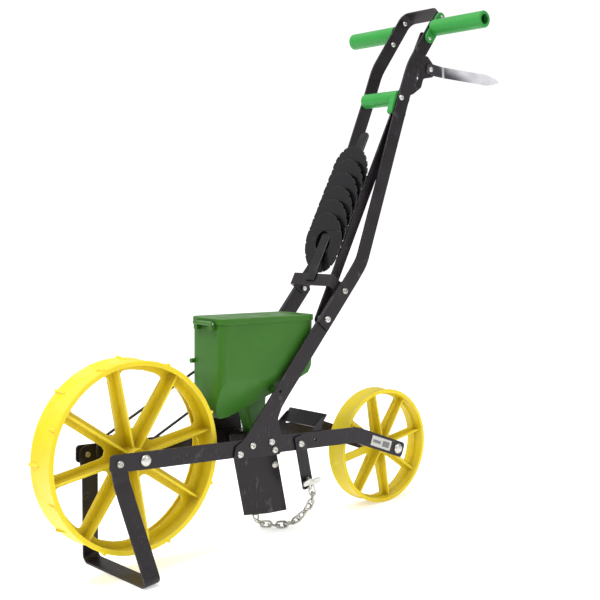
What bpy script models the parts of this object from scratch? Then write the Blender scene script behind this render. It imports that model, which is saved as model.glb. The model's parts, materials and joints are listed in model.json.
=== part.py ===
"""A walk-behind row seeder: two plastic wheels, a flat-bar frame, a seed hopper and a folding stand.

Metres, +Z up. The operator walks behind, at +Y; the machine travels toward -Y; +X is the operator's
left; x = 0 is the middle of the machine. Shapes are drawn in the machine's own level frame, with both
wheels on the ground and y = 0 at the front axle. The whole machine hangs on one empty that tips it
back until its stand carries the front.
"""

import math

import bmesh
import bpy
from mathutils import Vector

# ---------------------------------------------------------------- driving dimensions
GAP = 0.0003              # clearance between pieces that touch
BOLT_PLAY = 0.0004        # radial clearance of a bolt in its hole

FRONT_WHEEL_RADIUS = 0.1905
FRONT_TREAD_WIDTH = 0.076
REAR_WHEEL_RADIUS = 0.1335
REAR_TREAD_WIDTH = 0.0493
WHEELBASE = 0.6816
FRONT_LIFT = 0.0424       # how far the stand holds the front axle above its rolling height
SPOKES = 8
LUG_HEIGHT = 0.0035

BAR_WIDTH = 0.035         # flat bar of the rails, handle and stand
BAR_THICKNESS = 0.004
RAIL_INSIDE = 0.063       # middle plane to a rail's inner face
RAIL_FRONT_OVERHANG = 0.078
RAIL_SLOPE = -0.0195      # the rails fall slightly toward the rear
RAIL_BEND_Y = 0.552       # where the rails turn down to the rear axle

RISER_ANGLE = math.radians(50.4)
RISER_WIDTH = 0.038
HANDLE_BEND_Y = 0.5565    # first bend of the handle, above the risers
HANDLE_BEND_Z = 0.5655
HANDLE_ANGLE = math.radians(69.5)
HANDLE_MIDDLE_LENGTH = 0.4745
HANDLE_TOP_ANGLE = math.radians(54.2)
HANDLE_TOP_LENGTH = 0.166
HANDLE_TOP_HALF_WIDTH = 0.058
UPPER_BOLT_DROP = 0.0814  # along the risers, from the bend to the upper handle bolt
HANDLE_BOLT_PITCH = 0.0775
HANDLE_END_MARGIN = 0.0195
RISER_END_MARGIN = 0.0155

GRIP_LENGTH = 0.153
GRIP_RADIUS = 0.019
GRIP_BORE_RADIUS = 0.0115
GRIP_BOLT_PITCH = 0.0668
GRIP_SETBACK = 0.048      # grip axis below the top of the handle loop, along the bar
CROSS_TUBE_RADIUS = 0.017
CROSS_TUBE_Z = 0.937

STAND_PIVOT_Y = -0.0565
STAND_RAKE = math.radians(6.5)
STAND_SPREAD = 0.1216     # half the width of the stand's foot
STAND_KINK_DROP = 0.040   # pivot to the kink where the legs start to spread

HOPPER_HALF_WIDTH = 0.057
HOPPER_FRONT_Y = 0.190
HOPPER_LENGTH = 0.246
HOPPER_RIM_Z = 0.441
HOPPER_WALL = 0.003
LID_HEIGHT = 0.0125
LID_OVERHANG = 0.0025
LID_PIN_RADIUS = 0.002

BELT_WIDTH = 0.0046
BELT_THICKNESS = 0.0042
PULLEY_RADIUS = 0.0320
PULLEY_WIDTH = 0.0054
DRIVE_SHAFT_Y = 0.252
DRIVE_SHAFT_RADIUS = 0.005
DRIVE_ANGLE = math.radians(27.8)
SEED_PLATE_RADIUS = 0.046
SEED_PLATE_THICKNESS = 0.003

OPENER_HALF_WIDTH = 0.020
OPENER_SHEET = 0.003
OPENER_NOSE_LENGTH = 0.046
OPENER_CHEEK_LENGTH = 0.052
OPENER_LEAN = math.radians(12.7)
OPENER_NOSE_Y = 0.264     # nose at the height OPENER_NOSE_Z
OPENER_NOSE_Z = 0.150
OPENER_TOP_Z = 0.204
OPENER_BOTTOM_Z = 0.026

HANGER_WIDTH = 0.028
HANGER_BOLT_Y = 0.3865
HANGER_EYE_Y = 0.405
HANGER_EYE_Z = 0.097
CHAIN_RADIUS = 0.0070
CHAIN_END_SHARE = 0.57       # its ends, beside the hangers, are this much as thick

RACK_POST_WIDTH = 0.029
RACK_POST_THICKNESS = 0.004
RACK_POST_LENGTH = 0.362
RACK_POST_ANGLE = math.radians(63.5)
RACK_BRACKET_Y = 0.4746
RACK_BRACKET_Z = 0.535
STORED_PLATES = 6
STORED_PLATE_RADIUS = 0.068
STORED_PLATE_BORE = 0.0270
STORED_PLATE_PITCH = 0.034
FIRST_STORED_PLATE = 0.0805   # along the post, from the bracket
RACK_OFFSET = -0.002      # middle plane to the middle of the post, positive to the left
STORED_PLATE_OFFSET = -0.005
STORED_PLATE_TILT = math.radians(80.0)
STORED_PLATE_TURN = math.radians(-6.0)   # the near edge of each plate stands forward

MARKER_ANGLE = math.radians(64.0)
MARKER_LENGTH = 0.7205    # pivot to the top end
MARKER_WIDTH = 0.025
MARKER_X = 0.049          # middle plane of the marker arm
BLADE_BOLT_Y = 0.785
BLADE_BOLT_Z = 1.010
BLADE_WIDTH = 0.027
BLADE_FOLD = 0.041        # blade bolt to the fold
BLADE_LENGTH = 0.158      # fold to the tip
BLADE_TURN = math.radians(15.0)

# ---------------------------------------------------------------- derived places
RAIL_OUTSIDE = RAIL_INSIDE + BAR_THICKNESS
RISER_INSIDE = RAIL_OUTSIDE + GAP
RISER_OUTSIDE = RISER_INSIDE + BAR_THICKNESS
HANDLE_INSIDE = RISER_OUTSIDE + GAP
FRONT_AXLE = (0.0, FRONT_WHEEL_RADIUS)
REAR_AXLE = (WHEELBASE, REAR_WHEEL_RADIUS)
HALF_BAR = BAR_WIDTH / 2
RISER_DIRECTION = Vector((math.cos(RISER_ANGLE), math.sin(RISER_ANGLE)))
HANDLE_BEND = Vector((HANDLE_BEND_Y, HANDLE_BEND_Z))
HANDLE_UPPER_BOLT = HANDLE_BEND - UPPER_BOLT_DROP * RISER_DIRECTION
HANDLE_LOWER_BOLT = HANDLE_UPPER_BOLT - HANDLE_BOLT_PITCH * RISER_DIRECTION
HANDLE_FOOT = HANDLE_LOWER_BOLT - HANDLE_END_MARGIN * RISER_DIRECTION
HANDLE_SECOND_BEND = HANDLE_BEND + HANDLE_MIDDLE_LENGTH * Vector(
    (math.cos(HANDLE_ANGLE), math.sin(HANDLE_ANGLE)))
HANDLE_TOP_DIRECTION = Vector((math.cos(HANDLE_TOP_ANGLE), math.sin(HANDLE_TOP_ANGLE)))
HANDLE_TOP = HANDLE_SECOND_BEND + HANDLE_TOP_LENGTH * HANDLE_TOP_DIRECTION
GRIP_AXIS = HANDLE_TOP - GRIP_SETBACK * HANDLE_TOP_DIRECTION
AXLE_DISTANCE = math.hypot(WHEELBASE, FRONT_WHEEL_RADIUS - REAR_WHEEL_RADIUS)
TILT = (math.asin((FRONT_WHEEL_RADIUS + FRONT_LIFT - REAR_WHEEL_RADIUS) / AXLE_DISTANCE)
        - math.asin((FRONT_WHEEL_RADIUS - REAR_WHEEL_RADIUS) / AXLE_DISTANCE))
DRIVE_SHAFT = (DRIVE_SHAFT_Y, FRONT_WHEEL_RADIUS + DRIVE_SHAFT_Y * math.tan(DRIVE_ANGLE))
PULLEY_X = -(RAIL_INSIDE - GAP - PULLEY_WIDTH / 2)
HANDLE_NARROWS_FROM = HANDLE_BEND_Z - 0.033
HANDLE_NARROW_AT = HANDLE_SECOND_BEND.y - 0.080
MARKER_DIRECTION = Vector((math.cos(MARKER_ANGLE), math.sin(MARKER_ANGLE)))
RACK_DIRECTION = Vector((math.cos(RACK_POST_ANGLE), math.sin(RACK_POST_ANGLE)))


def rail_height(y):
    """Height of the rails' middle line over the straight part."""
    return FRONT_WHEEL_RADIUS + RAIL_SLOPE * y


# ---------------------------------------------------------------- scene helpers
def clear_scene():
    for old in list(bpy.data.objects):
        bpy.data.objects.remove(old, do_unlink=True)


def new_collection(name):
    collection = bpy.data.collections.new(name)
    bpy.context.scene.collection.children.link(collection)
    return collection


clear_scene()
PARTS = new_collection("row_seeder")


def finish(name, colour, roughness, metallic):
    material = bpy.data.materials.new(name)
    material.use_nodes = True
    shader = material.node_tree.nodes["Principled BSDF"]
    shader.inputs["Base Color"].default_value = (*colour, 1.0)
    shader.inputs["Roughness"].default_value = roughness
    shader.inputs["Metallic"].default_value = metallic
    material.diffuse_color = (*colour, 1.0)
    return material


WHEEL_YELLOW = finish("wheel_plastic", (0.90, 0.66, 0.02), 0.38, 0.0)
GRIP_GREEN = finish("grip_plastic", (0.03, 0.27, 0.04), 0.42, 0.0)
HOPPER_GREEN = finish("hopper_plastic", (0.045, 0.22, 0.02), 0.36, 0.0)
BLACK_PAINT = finish("black_paint", (0.022, 0.020, 0.022), 0.42, 0.0)
BLACK_PLASTIC = finish("black_plastic", (0.008, 0.008, 0.008), 0.25, 0.0)
RUBBER = finish("belt_rubber", (0.012, 0.012, 0.012), 0.7, 0.0)
ZINC = finish("zinc_steel", (0.62, 0.61, 0.56), 0.3, 1.0)
BLADE_STEEL = finish("blade_steel", (0.30, 0.30, 0.32), 0.3, 0.8)


def link(obj, material, collection=None):
    (collection or PARTS).objects.link(obj)
    if material:
        obj.data.materials.append(material)
    return obj


def evaluated_mesh(obj):
    """The object's mesh with its modifiers, and its loose caps welded."""
    bpy.context.view_layer.update()
    graph = bpy.context.evaluated_depsgraph_get()
    mesh = bpy.data.meshes.new_from_object(obj.evaluated_get(graph))
    work = bmesh.new()
    work.from_mesh(mesh)
    bmesh.ops.remove_doubles(work, verts=work.verts, dist=1e-6)
    work.to_mesh(mesh)
    work.free()
    return mesh


def solid(obj):
    """The same object as plain mesh, in the level frame."""
    mesh = evaluated_mesh(obj)
    mesh.transform(obj.matrix_world)
    name, material, collection = obj.name, obj.data.materials[0], obj.users_collection[0]
    bpy.data.objects.remove(obj, do_unlink=True)
    made = bpy.data.objects.new(name, mesh)
    mesh.name = name
    if not mesh.materials:
        mesh.materials.append(material)
    collection.objects.link(made)
    return made


def combine(obj, others, operation):
    """Joins the others into obj, or cuts them from it, with exact Booleans."""
    obj = solid(obj)
    for other in others:
        tool = solid(other)
        step = obj.modifiers.new(operation.lower(), "BOOLEAN")
        step.operation = operation
        step.solver = "EXACT"
        step.object = tool
        obj = solid(obj)
        bpy.data.objects.remove(tool, do_unlink=True)
    return obj


def fuse(obj, *others):
    return combine(obj, others, "UNION")


def cut(obj, *others):
    return combine(obj, others, "DIFFERENCE")


def shade(obj, angle=35):
    obj.data.shade_smooth()
    obj.data.set_sharp_from_angle(angle=math.radians(angle))
    return obj


# ---------------------------------------------------------------- outlines
def circle(centre, radius, points=20, start=0.0):
    return [(centre[0] + radius * math.cos(start + math.tau * i / points),
             centre[1] + radius * math.sin(start + math.tau * i / points)) for i in range(points)]


def arc(centre, radius, first, last, points):
    return [(centre[0] + radius * math.cos(first + (last - first) * i / (points - 1)),
             centre[1] + radius * math.sin(first + (last - first) * i / (points - 1)))
            for i in range(points)]


def rounded(points, radius, steps=4, closed=True):
    """The outline with its corners rounded. radius is one value, or a list with one for each corner."""
    count = len(points)
    radii = radius if isinstance(radius, (list, tuple)) else [radius] * count
    result = []
    for i, point in enumerate(points):
        here = Vector(point)
        if radii[i] <= 0 or (not closed and i in (0, count - 1)):
            result.append(tuple(here))
            continue
        before = (Vector(points[i - 1]) - here)
        after = (Vector(points[(i + 1) % count]) - here)
        half = before.angle(after) / 2
        if half > math.radians(89):
            result.append(tuple(here))
            continue
        reach = min(radii[i] / math.tan(half), before.length * 0.49, after.length * 0.49)
        start, end = here + before.normalized() * reach, here + after.normalized() * reach
        centre = here + (before.normalized() + after.normalized()).normalized() * (reach / math.cos(half))
        spoke_a, spoke_b = start - centre, end - centre
        sweep = spoke_a.angle(spoke_b)
        for k in range(steps + 1):
            t = k / steps
            mixed = (spoke_a * math.sin((1 - t) * sweep) + spoke_b * math.sin(t * sweep)) / math.sin(sweep)
            result.append(tuple(centre + mixed))
    return result


def normals_along(path):
    """Unit normals of an open path in its plane, mitred at the points between."""
    sides = []
    for i in range(len(path)):
        before = (Vector(path[i]) - Vector(path[i - 1])).normalized() if i else None
        after = (Vector(path[i + 1]) - Vector(path[i])).normalized() if i + 1 < len(path) else None
        first, last = before or after, after or before
        middle = (first + last).normalized()
        scale = 1 / max(0.3, middle.dot(first))
        sides.append(Vector((-middle.y, middle.x)) * scale)
    return sides


def bar_outline(path, width, end_radius):
    """Outline of a flat bar bent edgewise along a path."""
    sides = normals_along(path)
    left = [Vector(p) + n * (width / 2) for p, n in zip(path, sides)]
    right = [Vector(p) - n * (width / 2) for p, n in zip(path, sides)]
    outline = [tuple(p) for p in left] + [tuple(p) for p in reversed(right)]
    radii = [0.0] * len(outline)
    for corner in (0, len(path) - 1, len(path), 2 * len(path) - 1):
        radii[corner] = end_radius
    return rounded(outline, radii)


def inset(points, distance):
    """A closed outline moved inward, with mitred corners. It runs either way round."""
    area = sum(a[0] * b[1] - b[0] * a[1] for a, b in zip(points, points[1:] + points[:1]))
    turn = 1 if area > 0 else -1
    moved = []
    for i, point in enumerate(points):
        before = (Vector(point) - Vector(points[i - 1])).normalized()
        after = (Vector(points[(i + 1) % len(points)]) - Vector(point)).normalized()
        middle = (before + after).normalized()
        scale = turn * distance / max(0.3, middle.dot(before))
        moved.append((point[0] - middle.y * scale, point[1] + middle.x * scale))
    return moved


# ---------------------------------------------------------------- solids
PLANES = {
    "yz": (math.pi / 2, 0, math.pi / 2),   # outline (y, z), thickness along X
    "xz": (math.pi / 2, 0, 0),             # outline (x, z), thickness along -Y
    "xy": (0, 0, 0),                       # outline (x, y), thickness along Z
}


def sheet(name, outline, low, high, material, holes=(), plane="yz", collection=None, edge=0.0):
    """A flat outline with holes, thickened from low to high across its plane."""
    curve = bpy.data.curves.new(name, "CURVE")
    curve.dimensions = "2D"
    curve.fill_mode = "BOTH"
    curve.extrude = (high - low) / 2 - edge
    curve.bevel_depth = edge
    curve.bevel_resolution = 0
    curve.offset = -edge
    for points in (outline, *holes):
        spline = curve.splines.new("POLY")
        spline.points.add(len(points) - 1)
        for control, (a, b) in zip(spline.points, points):
            control.co = (a, b, 0, 1)
        spline.use_cyclic_u = True
    obj = link(bpy.data.objects.new(name, curve), material, collection)
    obj.rotation_euler = PLANES[plane]
    middle = (low + high) / 2
    obj.location = {"yz": (middle, 0, 0), "xz": (0, middle, 0), "xy": (0, 0, middle)}[plane]
    return obj


def turned(name, profile, axle, material, steps=32, closed=False, x=0.0):
    """A profile of (radius, x) turned about a line along X through axle = (y, z)."""
    mesh = bpy.data.meshes.new(name)
    edges = [(i, i + 1) for i in range(len(profile) - 1)]
    if closed:
        edges.append((len(profile) - 1, 0))
    mesh.from_pydata([(r, 0, h) for r, h in profile], edges, [])
    obj = link(bpy.data.objects.new(name, mesh), material)
    screw = obj.modifiers.new("turn", "SCREW")
    screw.steps = screw.render_steps = steps
    screw.use_merge_vertices = True
    screw.merge_threshold = 1e-5
    obj.rotation_euler = (0, math.pi / 2, 0)
    obj.location = (x, axle[0], axle[1])
    return obj


def ring(name, axle, inner, outer, low, high, material, steps=32):
    """A plain tube or washer along X."""
    return turned(name, [(inner, high), (outer, high), (outer, low), (inner, low)],
                  axle, material, steps, closed=True)


def rod(name, axle, radius, low, high, material, steps=20):
    return turned(name, [(0, high), (radius, high), (radius, low), (0, low)], axle, material, steps)


def bolt(name, axle, side, inner_end, outer_face, radius, head_radius, head_height, nut_radius=0.0,
         nut_height=0.005):
    """A domed-head bolt along X. side is +1 or -1: its head stands on outer_face at that side."""
    dome = [(head_radius * math.cos(a), outer_face + GAP + head_height * (0.25 + 0.75 * math.sin(a)))
            for a in (math.radians(d) for d in (90, 60, 30, 0))]
    profile = [(0.0, dome[0][1])] + dome[1:] + [(head_radius, outer_face + GAP), (radius, outer_face + GAP)]
    if nut_radius:
        profile += [(radius, inner_end + nut_height), (nut_radius, inner_end + nut_height)]
        profile += [(nut_radius, inner_end)]
    else:
        profile += [(radius, inner_end)]
    profile += [(0.0, inner_end)]
    obj = turned(name, profile, axle, ZINC, steps=14)
    if side < 0:
        obj.rotation_euler = (0, -math.pi / 2, 0)
    return obj


def box(name, low, high, material, collection=None):
    mesh = bpy.data.meshes.new(name)
    work = bmesh.new()
    bmesh.ops.create_cube(work, size=1.0)
    for vert in work.verts:
        for axis in range(3):
            vert.co[axis] = low[axis] if vert.co[axis] < 0 else high[axis]
    work.to_mesh(mesh)
    work.free()
    return link(bpy.data.objects.new(name, mesh), material, collection)


def lofted(name, rows, material, thickness=0.0, ring_closed=True, offset=-1.0):
    """A skin over rows of points. With a thickness it is an open shell, or else it is capped."""
    mesh = bpy.data.meshes.new(name)
    count = len(rows[0])
    verts = [point for row in rows for point in row]
    faces = []
    last = count if ring_closed else count - 1
    for r in range(len(rows) - 1):
        for i in range(last):
            j = (i + 1) % count
            faces.append((r * count + i, r * count + j, (r + 1) * count + j, (r + 1) * count + i))
    if not thickness:
        faces.append(tuple(reversed(range(count))))
        faces.append(tuple(range((len(rows) - 1) * count, len(rows) * count)))
    mesh.from_pydata(verts, [], faces)
    work = bmesh.new()
    work.from_mesh(mesh)
    bmesh.ops.recalc_face_normals(work, faces=work.faces)
    work.to_mesh(mesh)
    work.free()
    obj = link(bpy.data.objects.new(name, mesh), material)
    if thickness:
        wall = obj.modifiers.new("wall", "SOLIDIFY")
        wall.thickness = thickness
        wall.offset = offset
        wall.use_even_offset = True
    return obj


def both_sides(make):
    """Makes a piece for the left, at +X, and for the right, at -X."""
    return make("left", 1), make("right", -1)


def side_sheet(name, side, outline, inside, outside, material, holes=(), edge=0.0):
    low, high = (inside, outside) if side > 0 else (-outside, -inside)
    return sheet(name, outline, low, high, material, holes, edge=edge)


def holes_at(places, radius, points=16):
    return [circle(place, radius + BOLT_PLAY, points) for place in places]


# ---------------------------------------------------------------- frame
SMALL_BOLT = 0.003
AXLE_BOLT = 0.006
FOOT_BOLT = (0.224, rail_height(0.224) - 0.0105)
SECOND_FOOT_BOLT = (0.256, rail_height(0.256) + 0.0045)
OPENER_BOLT = (0.306, rail_height(0.306) + 0.008)
SECOND_OPENER_BOLT = (0.3145, rail_height(0.3145) - 0.0095)
HANGER_BOLT = (HANGER_BOLT_Y, rail_height(HANGER_BOLT_Y) - 0.004)
HANGER_EYE = (HANGER_EYE_Y, HANGER_EYE_Z)
STAND_PIVOT = (STAND_PIVOT_Y, rail_height(STAND_PIVOT_Y) - 0.0015)
MARKER_PIVOT = tuple(HANDLE_LOWER_BOLT)
BRACE_BOLT = (0.432, rail_height(0.432))


def make_rails():
    bend = (RAIL_BEND_Y, rail_height(RAIL_BEND_Y))
    tail = (Vector(REAR_AXLE) - Vector(bend)).normalized() * 0.019 + Vector(REAR_AXLE)
    path = rounded([(-RAIL_FRONT_OVERHANG, rail_height(-RAIL_FRONT_OVERHANG)), bend, tuple(tail)],
                   0.06, steps=6, closed=False)
    outline = bar_outline(path, BAR_WIDTH, 0.008)
    small = [STAND_PIVOT, FOOT_BOLT, SECOND_FOOT_BOLT, OPENER_BOLT, SECOND_OPENER_BOLT, HANGER_BOLT, BRACE_BOLT]
    holes = holes_at(small, SMALL_BOLT) + holes_at([FRONT_AXLE, REAR_AXLE], AXLE_BOLT)
    return both_sides(lambda name, side: side_sheet(
        name + "_rail", side, outline, RAIL_INSIDE, RAIL_OUTSIDE, BLACK_PAINT, holes))


def riser_point(along, across):
    """A place on the risers: along the bar from the handle's bend, across it toward the rear."""
    across_direction = Vector((RISER_DIRECTION.y, -RISER_DIRECTION.x))
    return tuple(HANDLE_BEND + RISER_DIRECTION * along + across_direction * across)


HOPPER_BOSS = riser_point(-0.352, -0.004)


def make_risers():
    foot = [(0.349, 0.283), (0.333, 0.262), (0.323, 0.240), (0.332, 0.205), (0.332, 0.163),
            (0.208, 0.168), (0.213, 0.192), riser_point(-0.485, -HALF_BAR)]
    top = RISER_END_MARGIN - UPPER_BOLT_DROP
    outline = rounded([riser_point(top, -HALF_BAR), riser_point(top, RISER_WIDTH - HALF_BAR)] + foot,
                      [0.006, 0.006, 0.02, 0.012, 0.012, 0.004, 0.008, 0.006, 0.01, 0.03])
    holes = holes_at([FOOT_BOLT, SECOND_FOOT_BOLT, OPENER_BOLT, SECOND_OPENER_BOLT,
                      tuple(HANDLE_LOWER_BOLT), tuple(HANDLE_UPPER_BOLT), HOPPER_BOSS], SMALL_BOLT)
    return both_sides(lambda name, side: side_sheet(
        name + "_riser", side, outline, RISER_INSIDE, RISER_OUTSIDE, BLACK_PAINT, holes))


def make_cross_brace():
    """The folded plate between the rails behind the risers, with a flange bolted to each rail."""
    low, high = Vector((0.4445, 0.2065)), Vector((0.465, 0.2345))
    slope = (high - low).normalized()
    reach = RAIL_INSIDE - GAP
    web = sheet("cross_brace", [tuple(p) for p in (
        low, high, high + Vector((slope.y, -slope.x)) * 0.003, low + Vector((slope.y, -slope.x)) * 0.003)],
        -reach, reach, BLACK_PAINT)
    flange = [(0.420, 0.196), (0.420, 0.166), (0.447, 0.166), tuple(low + slope * 0.010 + Vector((0.003, 0))),
              tuple(high), (0.440, 0.215)]
    sides = [side_sheet("brace_flange", side, rounded(flange, 0.003), reach - 0.003, reach, BLACK_PAINT,
                        holes_at([BRACE_BOLT], SMALL_BOLT)) for side in (1, -1)]
    return fuse(web, *sides)


def bolts_both_sides(name, place, inner_end, outer_face, head_radius=0.0075, radius=SMALL_BOLT,
                     nut_radius=0.0055):
    return both_sides(lambda side_name, side: bolt(
        side_name + "_" + name, place, side, inner_end, outer_face, radius, head_radius, 0.0042, nut_radius))


def make_frame():
    pieces = [*make_rails(), *make_risers(), make_cross_brace()]
    inner = RAIL_INSIDE - GAP - 0.005
    pieces += bolts_both_sides("foot_bolt", FOOT_BOLT, inner, RISER_OUTSIDE)
    pieces += bolts_both_sides("upper_handle_bolt", tuple(HANDLE_UPPER_BOLT),
                               RACK_FLANGE_INSIDE - GAP - 0.005, HANDLE_INSIDE + BAR_THICKNESS)
    for side_name, side, end in (("left", 1, MARKER_X - BAR_THICKNESS / 2), ("right", -1, RISER_INSIDE)):
        pieces.append(bolt(side_name + "_lower_handle_bolt", tuple(HANDLE_LOWER_BOLT), side, end - GAP - 0.005,
                           HANDLE_INSIDE + BAR_THICKNESS, SMALL_BOLT, 0.0075, 0.0042, 0.0055))
    return pieces


# ---------------------------------------------------------------- handle
RACK_FLANGE_THICKNESS = 0.003
RACK_FLANGE_INSIDE = RISER_INSIDE - GAP - RACK_FLANGE_THICKNESS


def handle_half_width(z):
    """Middle plane to the middle of the handle bar: the loop narrows between its two bends."""
    share = min(1.0, max(0.0, (z - HANDLE_NARROWS_FROM) / (HANDLE_NARROW_AT - HANDLE_NARROWS_FROM)))
    wide = HANDLE_INSIDE + BAR_THICKNESS / 2
    return wide + (HANDLE_TOP_HALF_WIDTH - wide) * share


def make_handle():
    """One flat bar: up the left side, over a rounded corner to the middle, and mirrored."""
    corner = 0.018
    wide_until = HANDLE_BEND - RISER_DIRECTION * (HANDLE_BEND_Z - HANDLE_NARROWS_FROM) / RISER_DIRECTION.y
    narrow_from = HANDLE_SECOND_BEND - (HANDLE_SECOND_BEND - HANDLE_BEND) * (
        (HANDLE_SECOND_BEND.y - HANDLE_NARROW_AT) / (HANDLE_SECOND_BEND.y - HANDLE_BEND_Z))
    path = rounded([tuple(HANDLE_FOOT), tuple(wide_until), tuple(HANDLE_BEND), tuple(narrow_from),
                    tuple(HANDLE_SECOND_BEND), tuple(HANDLE_TOP - HANDLE_TOP_DIRECTION * corner)],
                   [0, 0, 0.10, 0, 0.14, 0], steps=7, closed=False)
    rows = []
    for point, side in zip(path, normals_along(path)):
        x = handle_half_width(point[1])
        rows.append([(x, *(Vector(point) + side * HALF_BAR)), (x, *(Vector(point) - side * HALF_BAR))])
    across = Vector((-HANDLE_TOP_DIRECTION.y, HANDLE_TOP_DIRECTION.x)) * HALF_BAR
    for step in range(1, 6):
        turn = math.pi / 2 * step / 5
        x = HANDLE_TOP_HALF_WIDTH - corner * (1 - math.cos(turn))
        centre = HANDLE_TOP - HANDLE_TOP_DIRECTION * corner * (1 - math.sin(turn))
        rows.append([(x, *(centre + across)), (x, *(centre - across))])
    rows.append([(0, *(HANDLE_TOP + across)), (0, *(HANDLE_TOP - across))])
    mesh = bpy.data.meshes.new("handle_loop")
    verts = [p for row in rows for p in row]
    faces = [(2 * i, 2 * i + 1, 2 * i + 3, 2 * i + 2) for i in range(len(rows) - 1)]
    mesh.from_pydata(verts, [], faces)
    handle = link(bpy.data.objects.new("handle_loop", mesh), BLACK_PAINT)
    mirror = handle.modifiers.new("other_side", "MIRROR")
    mirror.merge_threshold = 1e-5
    mirror.use_clip = True
    wall = handle.modifiers.new("bar", "SOLIDIFY")
    wall.thickness = BAR_THICKNESS
    wall.offset = 0
    wall.use_even_offset = True
    drills = [rod("drill", tuple(place), SMALL_BOLT + BOLT_PLAY, -0.1, 0.1, BLACK_PAINT, 16)
              for place in (HANDLE_LOWER_BOLT, HANDLE_UPPER_BOLT, CROSS_TUBE)]
    return cut(handle, *drills)


CROSS_TUBE = (float((HANDLE_BEND + (HANDLE_SECOND_BEND - HANDLE_BEND)
                     * ((CROSS_TUBE_Z - HANDLE_BEND_Z) / (HANDLE_SECOND_BEND.y - HANDLE_BEND_Z))).x) - 0.009,
              CROSS_TUBE_Z)


def make_grips():
    """Plastic grips, each moulded with an oval flange that lies on the outside of the handle bar."""
    face = HANDLE_TOP_HALF_WIDTH + BAR_THICKNESS / 2 + GAP
    flange_thickness = 0.005
    axis = tuple(GRIP_AXIS)
    half_pitch = GRIP_BOLT_PITCH / 2
    ends = [tuple(GRIP_AXIS + HANDLE_TOP_DIRECTION * s * (half_pitch - 0.004)) for s in (1, -1)]

    def grip(name, side):
        flange_outline = []
        turn = HANDLE_TOP_ANGLE
        for end, first in ((ends[0], turn - math.pi / 2), (ends[1], turn + math.pi / 2)):
            flange_outline += arc(end, 0.0135, first, first + math.pi, 9)
        flange = side_sheet(name + "_grip", side, flange_outline, face, face + flange_thickness, GRIP_GREEN)
        end_x = face + GRIP_LENGTH
        profile = [(0, face + 0.022), (GRIP_BORE_RADIUS, face + 0.022), (GRIP_BORE_RADIUS, end_x),
                   (GRIP_RADIUS - 0.002, end_x), (GRIP_RADIUS, end_x - 0.002), (GRIP_RADIUS, face + 0.002),
                   (0, face + 0.002)]
        tube = turned("tube", profile, axis, GRIP_GREEN, steps=32, closed=False)
        if side < 0:
            tube.rotation_euler = (0, -math.pi / 2, 0)
        return flange, tube

    made = []
    for name, side in (("left", 1), ("right", -1)):
        flange, tube = grip(name, side)
        made.append((flange, tube))
    return [fuse(flange, tube) for flange, tube in made]


def make_cross_tube():
    """The spacer between the handle bars. Its left end is moulded as the clip that the marker arm snaps into."""
    reach = HANDLE_TOP_HALF_WIDTH - BAR_THICKNESS / 2 - GAP
    left_end = reach
    tube = turned("cross_tube", [(0, left_end), (CROSS_TUBE_RADIUS, left_end), (CROSS_TUBE_RADIUS, -reach),
                                 (0, -reach)], CROSS_TUBE, GRIP_GREEN, steps=32)
    bore = rod("bore", CROSS_TUBE, SMALL_BOLT + 0.001, -reach - 0.01, -reach + 0.02, GRIP_GREEN, 12)
    tube = cut(tube, bore)
    cheek = rounded([(CROSS_TUBE[0] - 0.015, CROSS_TUBE[1] + 0.008), (CROSS_TUBE[0] + 0.028, CROSS_TUBE[1] + 0.010),
                     (CROSS_TUBE[0] + 0.033, CROSS_TUBE[1] - 0.006), (CROSS_TUBE[0] + 0.014, CROSS_TUBE[1] - 0.015),
                     (CROSS_TUBE[0] + 0.022, CROSS_TUBE[1] - 0.043), (CROSS_TUBE[0] - 0.006, CROSS_TUBE[1] - 0.043),
                     (CROSS_TUBE[0] - 0.028, CROSS_TUBE[1] - 0.034)], 0.007)
    clip = sheet("clip", cheek, MARKER_X - 0.0075, left_end, GRIP_GREEN)
    slot_half = BAR_THICKNESS / 2 + 0.0004
    front = [marker_point(s, -MARKER_WIDTH / 2 - 0.0004) for s in (0.4, 0.7)]
    slot = sheet("slot", [front[0], front[1], (front[1][0] + 0.2, front[1][1]), (front[0][0] + 0.2, front[0][1])],
                 MARKER_X - slot_half, MARKER_X + slot_half, GRIP_GREEN)
    return cut(fuse(tube, clip), slot)


def marker_point(along, across):
    """A place on the marker arm: along it from its pivot, across it toward the rear."""
    across_direction = Vector((MARKER_DIRECTION.y, -MARKER_DIRECTION.x))
    return tuple(Vector(MARKER_PIVOT) + MARKER_DIRECTION * along + across_direction * across)


def make_handle_group():
    return [make_handle(), *make_grips(), make_cross_tube()]


# ---------------------------------------------------------------- stored seed plates
def rack_point(along, ahead):
    """A place on the rack post: along it from the bracket, ahead of it toward the front."""
    front = Vector((-RACK_DIRECTION.y, RACK_DIRECTION.x))
    return Vector((RACK_BRACKET_Y, RACK_BRACKET_Z)) + RACK_DIRECTION * along + front * ahead


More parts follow.
